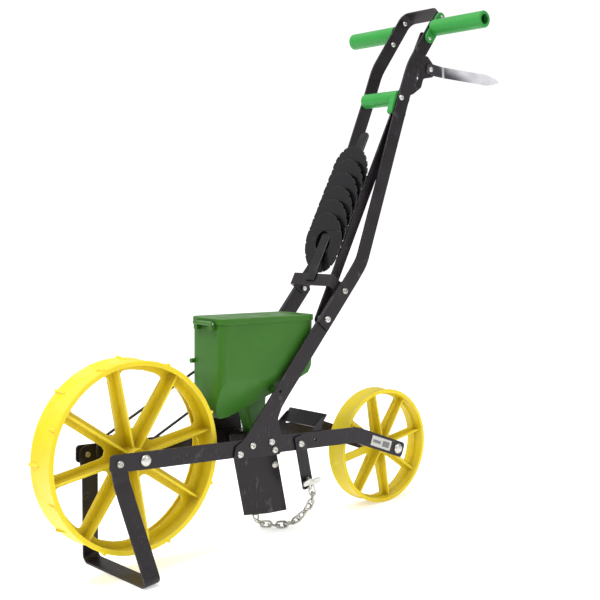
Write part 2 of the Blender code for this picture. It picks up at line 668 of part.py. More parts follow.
def make_rack():
    """A bracket between the handle's bolts, the post on it, and the spare plates threaded on the post."""
    half = RACK_POST_WIDTH / 2
    flat = [(RACK_OFFSET - half, -0.012), (RACK_OFFSET + half, -0.012)]
    flat += arc((RACK_OFFSET, RACK_POST_LENGTH - half), half, 0, math.pi, 11)
    post = sheet("rack_post", flat, -RACK_POST_THICKNESS / 2, RACK_POST_THICKNESS / 2, BLACK_PLASTIC,
                 plane="xz", edge=0.0008)
    post.rotation_euler = (RACK_POST_ANGLE, 0, 0)
    post.location = (0, *rack_point(0, 0))
    web_front = -(RACK_POST_THICKNESS / 2 + GAP)
    web_rear = web_front - 0.003
    reach = RISER_INSIDE - GAP
    wide = reach - RACK_FLANGE_THICKNESS / 2
    face = [(-wide, -0.022), (wide, -0.022), (wide, 0.006), (-wide, 0.006)]
    bracket = sheet("rack_bracket", face, -0.0015, 0.0015, BLACK_PAINT, plane="xz")
    bracket.rotation_euler = (RACK_POST_ANGLE, 0, 0)
    bracket.location = (0, *rack_point(0, (web_front + web_rear) / 2))
    flange_outline = rounded([tuple(rack_point(0.0055, web_front - 0.001)), tuple(rack_point(-0.0215, web_front - 0.001)),
                              riser_point(-UPPER_BOLT_DROP - 0.010, 0.010),
                              riser_point(-UPPER_BOLT_DROP + 0.012, 0.010)], [0, 0, 0.004, 0.004])
    flanges = [side_sheet("flange", side, flange_outline, reach - RACK_FLANGE_THICKNESS, reach, BLACK_PAINT)
               for side in (1, -1)]
    drill = rod("drill", tuple(HANDLE_UPPER_BOLT), SMALL_BOLT + BOLT_PLAY, -0.1, 0.1, BLACK_PAINT, 16)
    pieces = [post, cut(fuse(bracket, *flanges), drill)]
    for index in range(STORED_PLATES):
        plate = make_seed_plate("stored_plate_%d" % (index + 1), STORED_PLATE_RADIUS, STORED_PLATE_BORE,
                                14 + 2 * index, "xz")
        plate.rotation_euler = (STORED_PLATE_TILT, 0, STORED_PLATE_TURN)
        plate.location = (STORED_PLATE_OFFSET, *rack_point(FIRST_STORED_PLATE + STORED_PLATE_PITCH * index, 0))
        pieces.append(plate)
    return pieces


def make_seed_plate(name, radius, bore, cells, plane):
    """A notched plate with a plain bore."""
    outline = []
    notch = 0.0035
    for cell in range(cells):
        start = math.tau * cell / cells
        wide = notch / radius
        outline += [(radius * math.cos(start + a), radius * math.sin(start + a))
                    for a in (wide, (math.tau / cells) / 2, math.tau / cells - wide)]
        middle = math.tau * (cell + 1) / cells
        outline.append(((radius - notch) * math.cos(middle), (radius - notch) * math.sin(middle)))
    holes = [circle((0, 0), bore, 20)]
    return sheet(name, outline, -SEED_PLATE_THICKNESS / 2, SEED_PLATE_THICKNESS / 2, BLACK_PLASTIC, holes,
                 plane=plane)


# ---------------------------------------------------------------- hopper
def hopper_block(name, shrink, top, material):
    """The hopper's shape: the parts of its side, front and top outlines that agree."""
    rear = HOPPER_FRONT_Y + HOPPER_LENGTH
    width = HOPPER_HALF_WIDTH
    front = HOPPER_FRONT_Y
    side = [(front, HOPPER_RIM_Z), (front, 0.275), (front + 0.006, 0.256), (front + 0.020, 0.244),
            (front + 0.038, 0.246), (front + 0.122, 0.281), (rear - 0.050, 0.313), (rear - 0.019, 0.330),
            (rear - 0.003, 0.352), (rear, HOPPER_RIM_Z)]
    across = [(-width, HOPPER_RIM_Z), (-width, 0.235), (0.016, 0.235), (0.028, 0.258), (width, 0.328),
              (width, HOPPER_RIM_Z)]
    plan = [(-width, front), (width, front), (width, rear), (-width, rear)]
    side, across = inset(side, shrink), inset(across, shrink)
    side = [(y, z if z < HOPPER_RIM_Z - 0.01 else top) for y, z in side]
    across = [(x, z if z < HOPPER_RIM_Z - 0.01 else top) for x, z in across]
    plan = rounded(inset(plan, shrink), 0.018 - shrink, steps=5)
    body = sheet(name, side, -0.1, 0.1, material)
    crossing = sheet("crossing", across, 0.1, 0.6, material, plane="xz")
    cover = sheet("cover", plan, 0.1, 0.6, material, plane="xy")
    return combine(body, [crossing, cover], "INTERSECT")


def floor_height(y):
    """Underside of the hopper's sloping floor."""
    front = HOPPER_FRONT_Y
    return 0.246 + (y - front - 0.038) * (0.281 - 0.246) / (0.122 - 0.038)


CHUTE_TOP = (0.290, 0.326)
LID_HINGE = (HOPPER_FRONT_Y - LID_OVERHANG - 0.006, HOPPER_RIM_Z + 0.002)


def make_hopper():
    body = hopper_block("hopper", 0.0, HOPPER_RIM_Z, HOPPER_GREEN)
    space = hopper_block("space", HOPPER_WALL, HOPPER_RIM_Z + 0.05, HOPPER_GREEN)
    outlet = box("outlet", (-0.012, CHUTE_TOP[0] + 0.004, 0.2), (0.012, CHUTE_TOP[1] - 0.004, 0.32), HOPPER_GREEN)
    shaft_hole = rod("shaft_hole", DRIVE_SHAFT, DRIVE_SHAFT_RADIUS + BOLT_PLAY, -0.07, -0.04, HOPPER_GREEN)
    body = cut(body, space, outlet, shaft_hole)
    knuckles = []
    for low, high in ((-0.032, -0.0205), (0.0205, 0.032)):
        knuckles.append(ring("knuckle", LID_HINGE, LID_PIN_RADIUS + BOLT_PLAY, 0.0045, low, high, HOPPER_GREEN, 20))
        knuckles.append(box("web", (low, LID_HINGE[0] - 0.002, LID_HINGE[1] - 0.014),
                            (high, HOPPER_FRONT_Y + 0.001, LID_HINGE[1] - 0.003), HOPPER_GREEN))
    peg = turned("peg", [(0, 0.008), (0.005, 0.008), (0.005, -0.002), (0, -0.002)], (0, 0), HOPPER_GREEN, 16)
    peg.rotation_euler = (math.pi / 2, 0, 0)
    peg.location = (-0.046, HOPPER_FRONT_Y, 0.361)
    reach = RISER_INSIDE - GAP
    bosses = [rod("boss", HOPPER_BOSS, 0.008, 0.0405, reach, HOPPER_GREEN),
              rod("boss", HOPPER_BOSS, 0.008, -reach, 0.0015 - HOPPER_HALF_WIDTH, HOPPER_GREEN)]
    screw_holes = rod("screw_holes", HOPPER_BOSS, SMALL_BOLT, 0.055, 0.08, HOPPER_GREEN, 12)
    return cut(fuse(body, *knuckles, peg, *bosses), screw_holes)


def make_lid():
    half = HOPPER_HALF_WIDTH + LID_OVERHANG
    front, rear = HOPPER_FRONT_Y - LID_OVERHANG, HOPPER_FRONT_Y + HOPPER_LENGTH + LID_OVERHANG
    base = HOPPER_RIM_Z + GAP
    plan = [(-half, front), (half, front), (half, rear), (-half, rear)]
    shell = sheet("hopper_lid", rounded(plan, 0.020, 5), base, base + LID_HEIGHT, HOPPER_GREEN, plane="xy", edge=0.001)
    pocket = sheet("pocket", rounded(inset(plan, 0.0035), 0.017, 5), base - 0.01, base + LID_HEIGHT - 0.003,
                   HOPPER_GREEN, plane="xy")
    shell = cut(shell, pocket)
    knuckle = ring("knuckle", LID_HINGE, LID_PIN_RADIUS + BOLT_PLAY, 0.0045, -0.020, 0.020, HOPPER_GREEN, 20)
    web = box("web", (-0.020, LID_HINGE[0] + 0.003, base + 0.0015), (0.020, front + 0.001, base + 0.006), HOPPER_GREEN)
    return fuse(shell, knuckle, web)


def make_chute():
    """A tapering box spout from the hopper's outlet down into the opener."""
    rows = []
    low_z = 0.150
    low = (OPENER_NOSE_Y + 0.042, OPENER_NOSE_Y + 0.068)
    for share in (0.0, 0.55, 1.0):
        ease = share * share * (3 - 2 * share)
        front = CHUTE_TOP[0] - 0.012 + (low[0] - CHUTE_TOP[0] + 0.012) * ease
        rear = CHUTE_TOP[1] + 0.008 + (low[1] - CHUTE_TOP[1] - 0.008) * ease
        half = 0.019 - 0.007 * ease
        plan = rounded([(-half, front), (half, front), (half, rear), (-half, rear)], 0.005, 3)
        rows.append([(x, y, (floor_height(y) - 2 * GAP - 0.0005) * (1 - share) + low_z * share) for x, y in plan])
    return lofted("seed_chute", rows, HOPPER_GREEN, thickness=0.0022)


def make_seed_drive():
    """The seed plate inside the hopper, and the pulley whose shaft turns it through the hopper's wall."""
    plate_x = -(HOPPER_HALF_WIDTH - HOPPER_WALL - 0.001 - SEED_PLATE_THICKNESS / 2)
    plate = make_seed_plate("seed_plate", SEED_PLATE_RADIUS, DRIVE_SHAFT_RADIUS + BOLT_PLAY, 20, "yz")
    plate.location = (plate_x, DRIVE_SHAFT[0], DRIVE_SHAFT[1])
    low, high = PULLEY_X - PULLEY_WIDTH / 2, PULLEY_X + PULLEY_WIDTH / 2
    profile = [(0, plate_x + 0.006), (DRIVE_SHAFT_RADIUS, plate_x + 0.006), (DRIVE_SHAFT_RADIUS, high),
               (PULLEY_RADIUS, high), (PULLEY_RADIUS, low), (0, low)]
    pulley = turned("driven_pulley", profile, DRIVE_SHAFT, BLACK_PLASTIC, 40)
    return [plate, pulley]


def make_belt():
    """A belt round both pulleys, which are the same size."""
    first = math.atan2(DRIVE_SHAFT[1] - FRONT_AXLE[1], DRIVE_SHAFT[0])
    loops = []
    for radius in (PULLEY_RADIUS + GAP + BELT_THICKNESS, PULLEY_RADIUS + GAP):
        loops.append(arc(DRIVE_SHAFT, radius, first - math.pi / 2, first + math.pi / 2, 17)
                     + arc(FRONT_AXLE, radius, first + math.pi / 2, first + 1.5 * math.pi, 17))
    return sheet("drive_belt", loops[0], PULLEY_X - BELT_WIDTH / 2, PULLEY_X + BELT_WIDTH / 2, RUBBER, [loops[1]])


def make_hopper_group():
    pin = rod("lid_hinge_pin", LID_HINGE, LID_PIN_RADIUS, -0.034, 0.034, ZINC, 12)
    return [make_hopper(), make_lid(), pin, make_chute(), *make_seed_drive(), make_belt()]


# ---------------------------------------------------------------- wheels
def wheel_web(name, axle, rim_inside, band, spoke_half, hub_radius, thickness, corner, turn):
    """The flat web of a wheel: a disc with a window between each pair of spokes."""
    windows = []
    pitch = math.tau / SPOKES
    for i in range(SPOKES):
        middle = turn + pitch * (i + 0.5)
        near = spoke_half / math.sin(pitch / 2)
        outer = rim_inside - band
        swing = pitch / 2 - math.asin(spoke_half / outer)
        points = [(axle[0] + near * math.cos(middle), axle[1] + near * math.sin(middle))]
        points += arc(axle, outer, middle - swing, middle + swing, 5)
        radii = [corner * 0.8, corner, 0, 0, 0, corner]
        windows.append(rounded(points, radii, 3))
    windows.append(circle(axle, (hub_radius + AXLE_BOLT + BOLT_PLAY) / 2, 16))
    return sheet(name, circle(axle, rim_inside + 0.002, 48), -thickness / 2, thickness / 2, WHEEL_YELLOW, windows)


def radial_box(name, axle, angle, start, end, thickness, half_width_start, half_width_end):
    """A rib that stands on the web along one spoke, tapering in width from hub to rim."""
    along = Vector((math.cos(angle), math.sin(angle)))
    across = Vector((-along.y, along.x)) * thickness / 2
    rows = []
    for reach, half in ((start, half_width_start), (end, half_width_end)):
        here = Vector(axle) + along * reach
        rows.append([(-half, *(here - across)), (half, *(here - across)), (half, *(here + across)),
                     (-half, *(here + across))])
    return lofted(name, rows, WHEEL_YELLOW)


def make_front_wheel():
    half = FRONT_TREAD_WIDTH / 2
    outer = FRONT_WHEEL_RADIUS
    wall = 0.005
    lip = 0.010
    rim = turned("front_wheel", [
        (outer - 0.0015, half), (outer, half - 0.0015), (outer - 0.0022, 0.016), (outer - 0.0022, -0.016),
        (outer, -half + 0.0015), (outer - 0.0015, -half),
        (outer - lip, -half), (outer - lip, -half + 0.004), (outer - wall, -half + 0.006),
        (outer - wall - 0.003, 0), (outer - wall, half - 0.006), (outer - lip, half - 0.004),
        (outer - lip, half)], FRONT_AXLE, WHEEL_YELLOW, 56, closed=True)
    rim_inside = outer - wall - 0.004
    pieces = [wheel_web("web", FRONT_AXLE, rim_inside + 0.001, 0.013, 0.0125, 0.02, 0.004, 0.016, math.pi / 16)]
    pitch = math.tau / SPOKES
    for i in range(SPOKES):
        angle = math.pi / 16 + pitch * i
        pieces.append(radial_box("rib", FRONT_AXLE, angle, 0.012, outer - 0.003, 0.0042, 0.030, 0.024))
    hub = ring("hub", FRONT_AXLE, AXLE_BOLT + BOLT_PLAY, 0.019, -0.045, 0.045, WHEEL_YELLOW, 32)
    for i in range(2 * SPOKES):
        angle = math.pi / 16 + pitch * (i + 0.5) / 2
        side = -1 if i % 2 else 1
        rows = [[(side * x, -wide, -0.004), (side * x, wide, -0.004), (side * x, wide * 0.4, top),
                 (side * x, -wide * 0.4, top)][::side]
                for x, wide, top in ((0.006, 0.003, -0.0005), (half - 0.0002, 0.0055, LUG_HEIGHT))]
        lug = lofted("lug", rows, WHEEL_YELLOW)
        lug.rotation_euler = (angle - math.pi / 2, 0, 0)
        lug.location = (0, FRONT_AXLE[0] + outer * math.cos(angle), FRONT_AXLE[1] + outer * math.sin(angle))
        pieces.append(lug)
    return fuse(rim, *pieces, hub)


def make_rear_wheel():
    half = REAR_TREAD_WIDTH / 2
    outer = REAR_WHEEL_RADIUS
    dip = 0.004
    tread = [(outer - dip * (1 - (x / half) ** 2), x) for x in
             [half * (0.93 - 1.86 * i / 6) for i in range(7)]]
    profile = [(outer - 0.0015, half)] + tread + [(outer - 0.0015, -half), (outer - 0.009, -half),
                                                  (outer - 0.0105, 0), (outer - 0.009, half)]
    rim = turned("rear_wheel", profile, REAR_AXLE, WHEEL_YELLOW, 48, closed=True)
    pieces = [wheel_web("web", REAR_AXLE, outer - 0.0115, 0.003, 0.009, 0.018, 0.004, 0.011, math.pi / 16)]
    for i in range(SPOKES):
        angle = math.pi / 16 + math.tau / SPOKES * i
        pieces.append(radial_box("rib", REAR_AXLE, angle, 0.012, outer - 0.007, 0.004, 0.020, 0.015))
    hub = ring("hub", REAR_AXLE, AXLE_BOLT + BOLT_PLAY, 0.018, -0.030, 0.030, WHEEL_YELLOW, 32)
    return fuse(rim, *pieces, hub)


def make_front_pulley():
    """The driving pulley: a thin disc at the belt and a boss that fits against the wheel's hub."""
    low, high = PULLEY_X - PULLEY_WIDTH / 2, PULLEY_X + PULLEY_WIDTH / 2
    bore = AXLE_BOLT + BOLT_PLAY
    profile = [(bore, -0.045 - GAP), (0.016, -0.045 - GAP), (0.016, high), (PULLEY_RADIUS, high), (PULLEY_RADIUS, low),
               (bore, low)]
    return turned("front_pulley", profile, FRONT_AXLE, BLACK_PLASTIC, 40, closed=True)


def make_axles():
    end = RAIL_OUTSIDE
    front = bolt("front_axle_bolt", FRONT_AXLE, 1, -end - GAP - 0.007, end, AXLE_BOLT, 0.0115, 0.006, 0.011, 0.007)
    rear = bolt("rear_axle_bolt", REAR_AXLE, 1, -end - GAP - 0.007, end, AXLE_BOLT, 0.0115, 0.006, 0.011, 0.007)
    bore = AXLE_BOLT + BOLT_PLAY
    pieces = [front, rear, ring("front_spacer", FRONT_AXLE, bore, 0.010, 0.045 + GAP, RAIL_INSIDE - GAP, ZINC, 24)]
    pieces += both_sides(lambda name, side: ring(
        name + "_rear_spacer", REAR_AXLE, bore, 0.010, min(side * (0.030 + GAP), side * (RAIL_INSIDE - GAP)),
        max(side * (0.030 + GAP), side * (RAIL_INSIDE - GAP)), ZINC, 24))
    return pieces


# ---------------------------------------------------------------- opener and chain
def make_opener():
    """One folded sheet: a pointed nose and two straight cheeks, leaning back toward its foot."""
    lean = Vector((math.sin(OPENER_LEAN), -math.cos(OPENER_LEAN)))
    reach = OPENER_HALF_WIDTH - OPENER_SHEET / 2
    cheek_end = OPENER_NOSE_LENGTH + OPENER_CHEEK_LENGTH
    plan = [(-reach, cheek_end), (-reach, OPENER_NOSE_LENGTH), (0, 0), (reach, OPENER_NOSE_LENGTH), (reach, cheek_end)]
    rows = []
    for height in (OPENER_TOP_Z, OPENER_BOTTOM_Z):
        shift = (OPENER_NOSE_Z - height) / -lean.y * lean.x
        rows.append([(x, OPENER_NOSE_Y + y + shift, height) for x, y in plan])
    blade = lofted("opener", rows, BLACK_PAINT, thickness=OPENER_SHEET, ring_closed=False, offset=0.0)
    bore = rod("bore", OPENER_CROSS_BOLT, SMALL_BOLT + BOLT_PLAY, -0.03, 0.03, BLACK_PAINT, 16)
    bores = [rod("bore", place, SMALL_BOLT + BOLT_PLAY, -0.03, 0.03, BLACK_PAINT, 16)
             for place in (OPENER_BOLT, SECOND_OPENER_BOLT)]
    return cut(blade, bore, *bores)


OPENER_CROSS_BOLT = (0.3555, 0.130)


def make_opener_heel():
    """A channel nested between the cheeks that closes the opener's rear and shows behind it."""
    reach = OPENER_HALF_WIDTH - OPENER_SHEET - GAP
    front, back = 0.331, 0.3645
    slope = math.tan(OPENER_LEAN)
    top, bottom = 0.141, 0.0335

    def side_line(y):
        return [(y, top), (y + (top - bottom) * slope, bottom)]

    outline = side_line(front) + list(reversed(side_line(back)))
    block = sheet("opener_heel", outline, -reach, reach, BLACK_PAINT)
    hollow_outline = [(front + 0.0025 - slope * 0.01, top + 0.01), (front + 0.0025 + (top - bottom + 0.01) * slope, bottom - 0.01),
                      (back + 0.1, bottom - 0.01), (back + 0.1, top + 0.01)]
    hollow = sheet("hollow", hollow_outline, -reach + 0.0025, reach - 0.0025, BLACK_PAINT)
    bore = rod("bore", OPENER_CROSS_BOLT, SMALL_BOLT + BOLT_PLAY, -0.03, 0.03, BLACK_PAINT, 16)
    return cut(block, hollow, bore)


def make_opener_group():
    face = OPENER_HALF_WIDTH + GAP
    block = rounded([(0.297, 0.2035), (0.297, 0.166), (0.3245, 0.166), (0.3245, 0.2035)], 0.005)
    spacers = both_sides(lambda name, side: side_sheet(
        name + "_opener_spacer", side, block, face, RAIL_INSIDE - GAP, BLACK_PLASTIC,
        holes_at([OPENER_BOLT, SECOND_OPENER_BOLT], SMALL_BOLT)))
    bolts = both_sides(lambda name, side: bolt(
        name + "_opener_bolt", OPENER_BOLT, side, OPENER_HALF_WIDTH - OPENER_SHEET - 0.0005, RISER_OUTSIDE, SMALL_BOLT,
        0.0075, 0.0042))
    heel_bolt = bolt("opener_cross_bolt", OPENER_CROSS_BOLT, 1, -OPENER_HALF_WIDTH - GAP - 0.004, OPENER_HALF_WIDTH,
                     SMALL_BOLT, 0.0075, 0.0042, 0.0055, 0.004)
    return [make_opener(), make_opener_heel(), *spacers, *bolts, heel_bolt]


def make_hangers():
    """The two straps that carry the covering chain, bolted to the outside of the rails."""
    along = (Vector(HANGER_EYE) - Vector(HANGER_BOLT)).normalized()
    path = [tuple(Vector(HANGER_BOLT) - along * 0.018), tuple(Vector(HANGER_EYE) + along * 0.017)]
    outline = bar_outline(path, HANGER_WIDTH, 0.003)
    straps = both_sides(lambda name, side: side_sheet(
        name + "_hanger", side, outline, RISER_INSIDE, RISER_OUTSIDE, BLACK_PAINT,
        holes_at([HANGER_BOLT, HANGER_EYE], SMALL_BOLT)))
    bolts = bolts_both_sides("hanger_bolt", HANGER_BOLT, RAIL_INSIDE - GAP - 0.005, RISER_OUTSIDE)
    return [*straps, *bolts]


def make_chain_screws():
    """A wing screw through each hanger: the chain's end link lies round it, under the wings."""
    def screw(name, side):
        face = RISER_OUTSIDE + GAP
        stem = [(0, face + 0.019), (0.0055, face + 0.017), (0.0065, face + 0.0095), (SMALL_BOLT, face + 0.0095),
                (SMALL_BOLT, RISER_INSIDE - 0.004), (0.0065, RISER_INSIDE - 0.004 + 0.0), (0.0065, RISER_INSIDE - 0.007),
                (0, RISER_INSIDE - 0.007)]
        body = turned(name + "_wing_screw", stem, HANGER_EYE, ZINC, 20)
        if side < 0:
            body.rotation_euler = (0, -math.pi / 2, 0)
        low, high = sorted((side * (face + 0.012), side * (face + 0.0165)))
        wings = sheet("wing", rounded([(HANGER_EYE[0] + 0.004, HANGER_EYE[1] + 0.005), (HANGER_EYE[0] + 0.024, HANGER_EYE[1] + 0.008),
                                       (HANGER_EYE[0] + 0.024, HANGER_EYE[1] - 0.001), (HANGER_EYE[0] + 0.006, HANGER_EYE[1] - 0.008),
                                       (HANGER_EYE[0] - 0.004, HANGER_EYE[1] - 0.005), (HANGER_EYE[0] - 0.024, HANGER_EYE[1] - 0.008),
                                       (HANGER_EYE[0] - 0.024, HANGER_EYE[1] + 0.001), (HANGER_EYE[0] - 0.006, HANGER_EYE[1] + 0.008)], 0.003),
                      low, high, ZINC)
        return fuse(body, wings)

    return both_sides(screw)


CHAIN_ROUTE = [
    (0.0765, HANGER_EYE_Y, HANGER_EYE_Z - 0.0055), (0.0770, 0.4140, 0.0720), (0.0680, 0.4200, 0.0500), (0.0520, 0.4120, 0.0230),
    (0.0300, 0.3990, 0.0000), (0.0080, 0.3840, -0.0090), (-0.0150, 0.3670, -0.0100), (-0.0380, 0.3560, -0.0060),
    (-0.0560, 0.3610, 0.0080), (-0.0690, 0.3790, 0.0360), (-0.0765, 0.3980, 0.0680), (-0.0765, HANGER_EYE_Y, HANGER_EYE_Z - 0.0055),
]


def smooth_route(points, steps):
    """Points on a smooth curve through the route's own points."""
    ends = [tuple(2 * Vector(points[0]) - Vector(points[1]))] + points + [
        tuple(2 * Vector(points[-1]) - Vector(points[-2]))]
    result = []
    for i in range(1, len(ends) - 2):
        a, b, c, d = (Vector(p) for p in ends[i - 1:i + 3])
        for k in range(steps):
            t = k / steps
            result.append(0.5 * (2 * b + (c - a) * t + (2 * a - 5 * b + 4 * c - d) * t ** 2
                                 + (3 * b - a - 3 * c + d) * t ** 3))
    result.append(Vector(points[-1]))
    return result


def make_chain():
    """The covering chain as one plain tube of its outer diameter, thinner beside the hangers."""
    curve = bpy.data.curves.new("covering_chain", "CURVE")
    curve.dimensions = "3D"
    curve.bevel_depth = CHAIN_RADIUS
    curve.bevel_resolution = 2
    curve.use_fill_caps = True
    route = smooth_route(CHAIN_ROUTE, 3)
    spline = curve.splines.new("POLY")
    spline.points.add(len(route) - 1)
    for control, point in zip(spline.points, route):
        control.co = (*point, 1)
        low = min(1.0, max(0.0, (HANGER_EYE_Z - 0.016 - point[2]) / 0.020))
        control.radius = CHAIN_END_SHARE + (1 - CHAIN_END_SHARE) * low
    return link(bpy.data.objects.new("covering_chain", curve), ZINC)


# ---------------------------------------------------------------- stand
def make_stand():
    """One flat bar folded into a U: short upright ends at the pivots, legs that spread, and a flat foot."""
    top_x = RAIL_INSIDE - GAP - BAR_THICKNESS / 2 - GAP
    down = Vector((math.sin(STAND_RAKE + TILT), -math.cos(STAND_RAKE + TILT)))
    across = Vector((-down.y, down.x))
    pivot = Vector(STAND_PIVOT)
    height = tipped_height(STAND_PIVOT)
    length = (height - HALF_BAR * math.sin(STAND_RAKE)) / math.cos(STAND_RAKE) - BAR_THICKNESS / 2
    foot_x = STAND_SPREAD - BAR_THICKNESS / 2
    line = rounded([(top_x, 0.0), (top_x, STAND_KINK_DROP), (foot_x, length), (0, length)],
                   [0, 0.03, 0.012, 0], steps=5, closed=False)
    end = [math.radians(d) for d in (80, 60, 40, 20)]
    rows = [(top_x, -HALF_BAR * math.sin(a), HALF_BAR * math.cos(a)) for a in end]
    rows += [(x, s, HALF_BAR) for x, s in line]
    mesh = bpy.data.meshes.new("stand")
    verts, faces = [], []
    for x, s, half in rows:
        centre = pivot + down * s
        verts += [(x, *(centre + across * half)), (x, *(centre - across * half))]
    faces = [(2 * i, 2 * i + 1, 2 * i + 3, 2 * i + 2) for i in range(len(rows) - 1)]
    mesh.from_pydata(verts, [], faces)
    stand = link(bpy.data.objects.new("stand", mesh), BLACK_PAINT)
    mirror = stand.modifiers.new("other_side", "MIRROR")
    mirror.merge_threshold = 1e-5
    wall = stand.modifiers.new("bar", "SOLIDIFY")
    wall.thickness = BAR_THICKNESS
    wall.offset = 0
    wall.use_even_offset = True
    return cut(stand, rod("drill", STAND_PIVOT, SMALL_BOLT + BOLT_PLAY, -0.1, 0.1, BLACK_PAINT, 16))


def tipped_height(place):
    """Height above the ground of a place in the level frame, once the machine is tipped on its stand."""
    y, z = place[0] - REAR_AXLE[0], place[1] - REAR_AXLE[1]
    return REAR_AXLE[1] - y * math.sin(TILT) + z * math.cos(TILT)


def make_stand_bolts():
    return list(bolts_both_sides("stand_bolt", STAND_PIVOT, RAIL_INSIDE - 2 * GAP - BAR_THICKNESS - 0.005,
                                 RAIL_OUTSIDE))


# ---------------------------------------------------------------- row marker
def make_marker():
    half = BAR_THICKNESS / 2
    turn = MARKER_ANGLE + math.pi / 2
    low_end = arc(marker_point(-0.0015, 0), MARKER_WIDTH / 2, turn, turn + math.pi, 11)
    top_end = rounded([marker_point(0.5, MARKER_WIDTH / 2), marker_point(MARKER_LENGTH, MARKER_WIDTH / 2),
                       marker_point(MARKER_LENGTH, -MARKER_WIDTH / 2), marker_point(0.5, -MARKER_WIDTH / 2)],
                      [0, 0.006, 0.006, 0])
    arm = sheet("marker_arm", low_end + top_end, MARKER_X - half, MARKER_X + half, BLACK_PAINT,
                holes_at([MARKER_PIVOT], SMALL_BOLT))
    plate_low = MARKER_X + half + GAP
    plate_high = plate_low + 0.003
    outline = rounded([(0.717, 0.943), (0.733, 0.950), (0.757, 0.966), (0.764, 0.987), (0.797, 0.993),
                       (0.803, 1.016), (0.777, 1.040), (0.757, 1.038)],
                      [0.004, 0.004, 0.006, 0.008, 0.010, 0.012, 0.008, 0.004])
    spare_hole = (0.7457, 0.9867)
    plate = sheet("marker_plate", outline, plate_low, plate_high, BLACK_PAINT,
                  holes_at([(BLADE_BOLT_Y, BLADE_BOLT_Z), spare_hole], SMALL_BOLT))
    spacer = ring("marker_spacer", MARKER_PIVOT, SMALL_BOLT + BOLT_PLAY, 0.008, MARKER_X + half + GAP,
                  RISER_INSIDE - GAP, ZINC, 24)
    blade_face = plate_high + GAP
    blade_bolt = bolt("marker_blade_bolt", (BLADE_BOLT_Y, BLADE_BOLT_Z), 1, plate_low - GAP - 0.004,
                      blade_face + 0.0025, SMALL_BOLT, 0.0065, 0.0038, 0.0055, 0.004)
    return [arm, plate, spacer, blade_bolt, make_blade(blade_face)]


def make_blade(face):
    """The marking blade: a flared root on its bolt, a fold outward, and a long pointed leaf."""
    thickness = 0.0025
    drop = math.radians(-5)
    half = BLADE_WIDTH / 2
    stations = [(-0.013, 0.55), (-0.009, 0.85), (0.0, 1.0), (0.018, 0.97), (BLADE_FOLD, 0.93),
                (BLADE_FOLD + 0.03, 0.93), (BLADE_FOLD + BLADE_LENGTH * 0.78, 0.93),
                (BLADE_FOLD + BLADE_LENGTH * 0.90, 0.62), (BLADE_FOLD + BLADE_LENGTH, 0.12)]
    mesh = bpy.data.meshes.new("marker_blade")
    verts = []
    for s, share in stations:
        beyond = max(0.0, s - BLADE_FOLD)
        run = min(s, BLADE_FOLD) + beyond * math.cos(BLADE_TURN)
        x = face + thickness / 2 + beyond * math.sin(BLADE_TURN)
        y = BLADE_BOLT_Y + run * math.cos(drop)
        z = BLADE_BOLT_Z + run * math.sin(drop)
        verts += [(x, y, z - half * share), (x, y, z), (x, y, z + half * share)]
    faces = []
    for i in range(len(stations) - 1):
        for k in (0, 1):
            a = 3 * i + k
            faces.append((a, a + 1, a + 4, a + 3))
    mesh.from_pydata(verts, [], faces)
    blade = link(bpy.data.objects.new("marker_blade", mesh), BLADE_STEEL)
    wall = blade.modifiers.new("sheet", "SOLIDIFY")
    wall.thickness = thickness
    wall.offset = 0
    return cut(blade, rod("bore", (BLADE_BOLT_Y, BLADE_BOLT_Z), SMALL_BOLT + BOLT_PLAY, 0.04, 0.07, BLADE_STEEL, 16))


# ---------------------------------------------------------------- assembly
def empty(name, place, parent=None):
    obj = bpy.data.objects.new(name, None)
    PARTS.objects.link(obj)
    obj.location = place
    obj.parent = parent
    return obj


def hang(pieces, holder, pivot=(0, 0, 0)):
    """Parents pieces, whose shapes are drawn in the level frame, to an empty that stands at pivot."""
    for piece in pieces:
        piece.parent = holder
        piece.location = Vector(piece.location) - Vector(pivot)


def body(name, pieces, machine, pivot):
    hang(pieces, empty(name + "_axis", pivot, machine), pivot)


def shade_rounds():
    for obj in PARTS.objects:
        if obj.type == "MESH" and not any(m.type == "SCREW" for m in obj.modifiers):
            shade(obj)


def middle_of_length():
    """The middle of the whole machine's length, as it now stands."""
    bpy.context.view_layer.update()
    graph = bpy.context.evaluated_depsgraph_get()
    lengths = []
    for obj in PARTS.objects:
        if obj.type == "EMPTY":
            continue
        shape = obj.evaluated_get(graph)
        mesh = shape.to_mesh()
        lengths += [(shape.matrix_world @ vert.co).y for vert in mesh.vertices]
        shape.to_mesh_clear()
    return (min(lengths) + max(lengths)) / 2


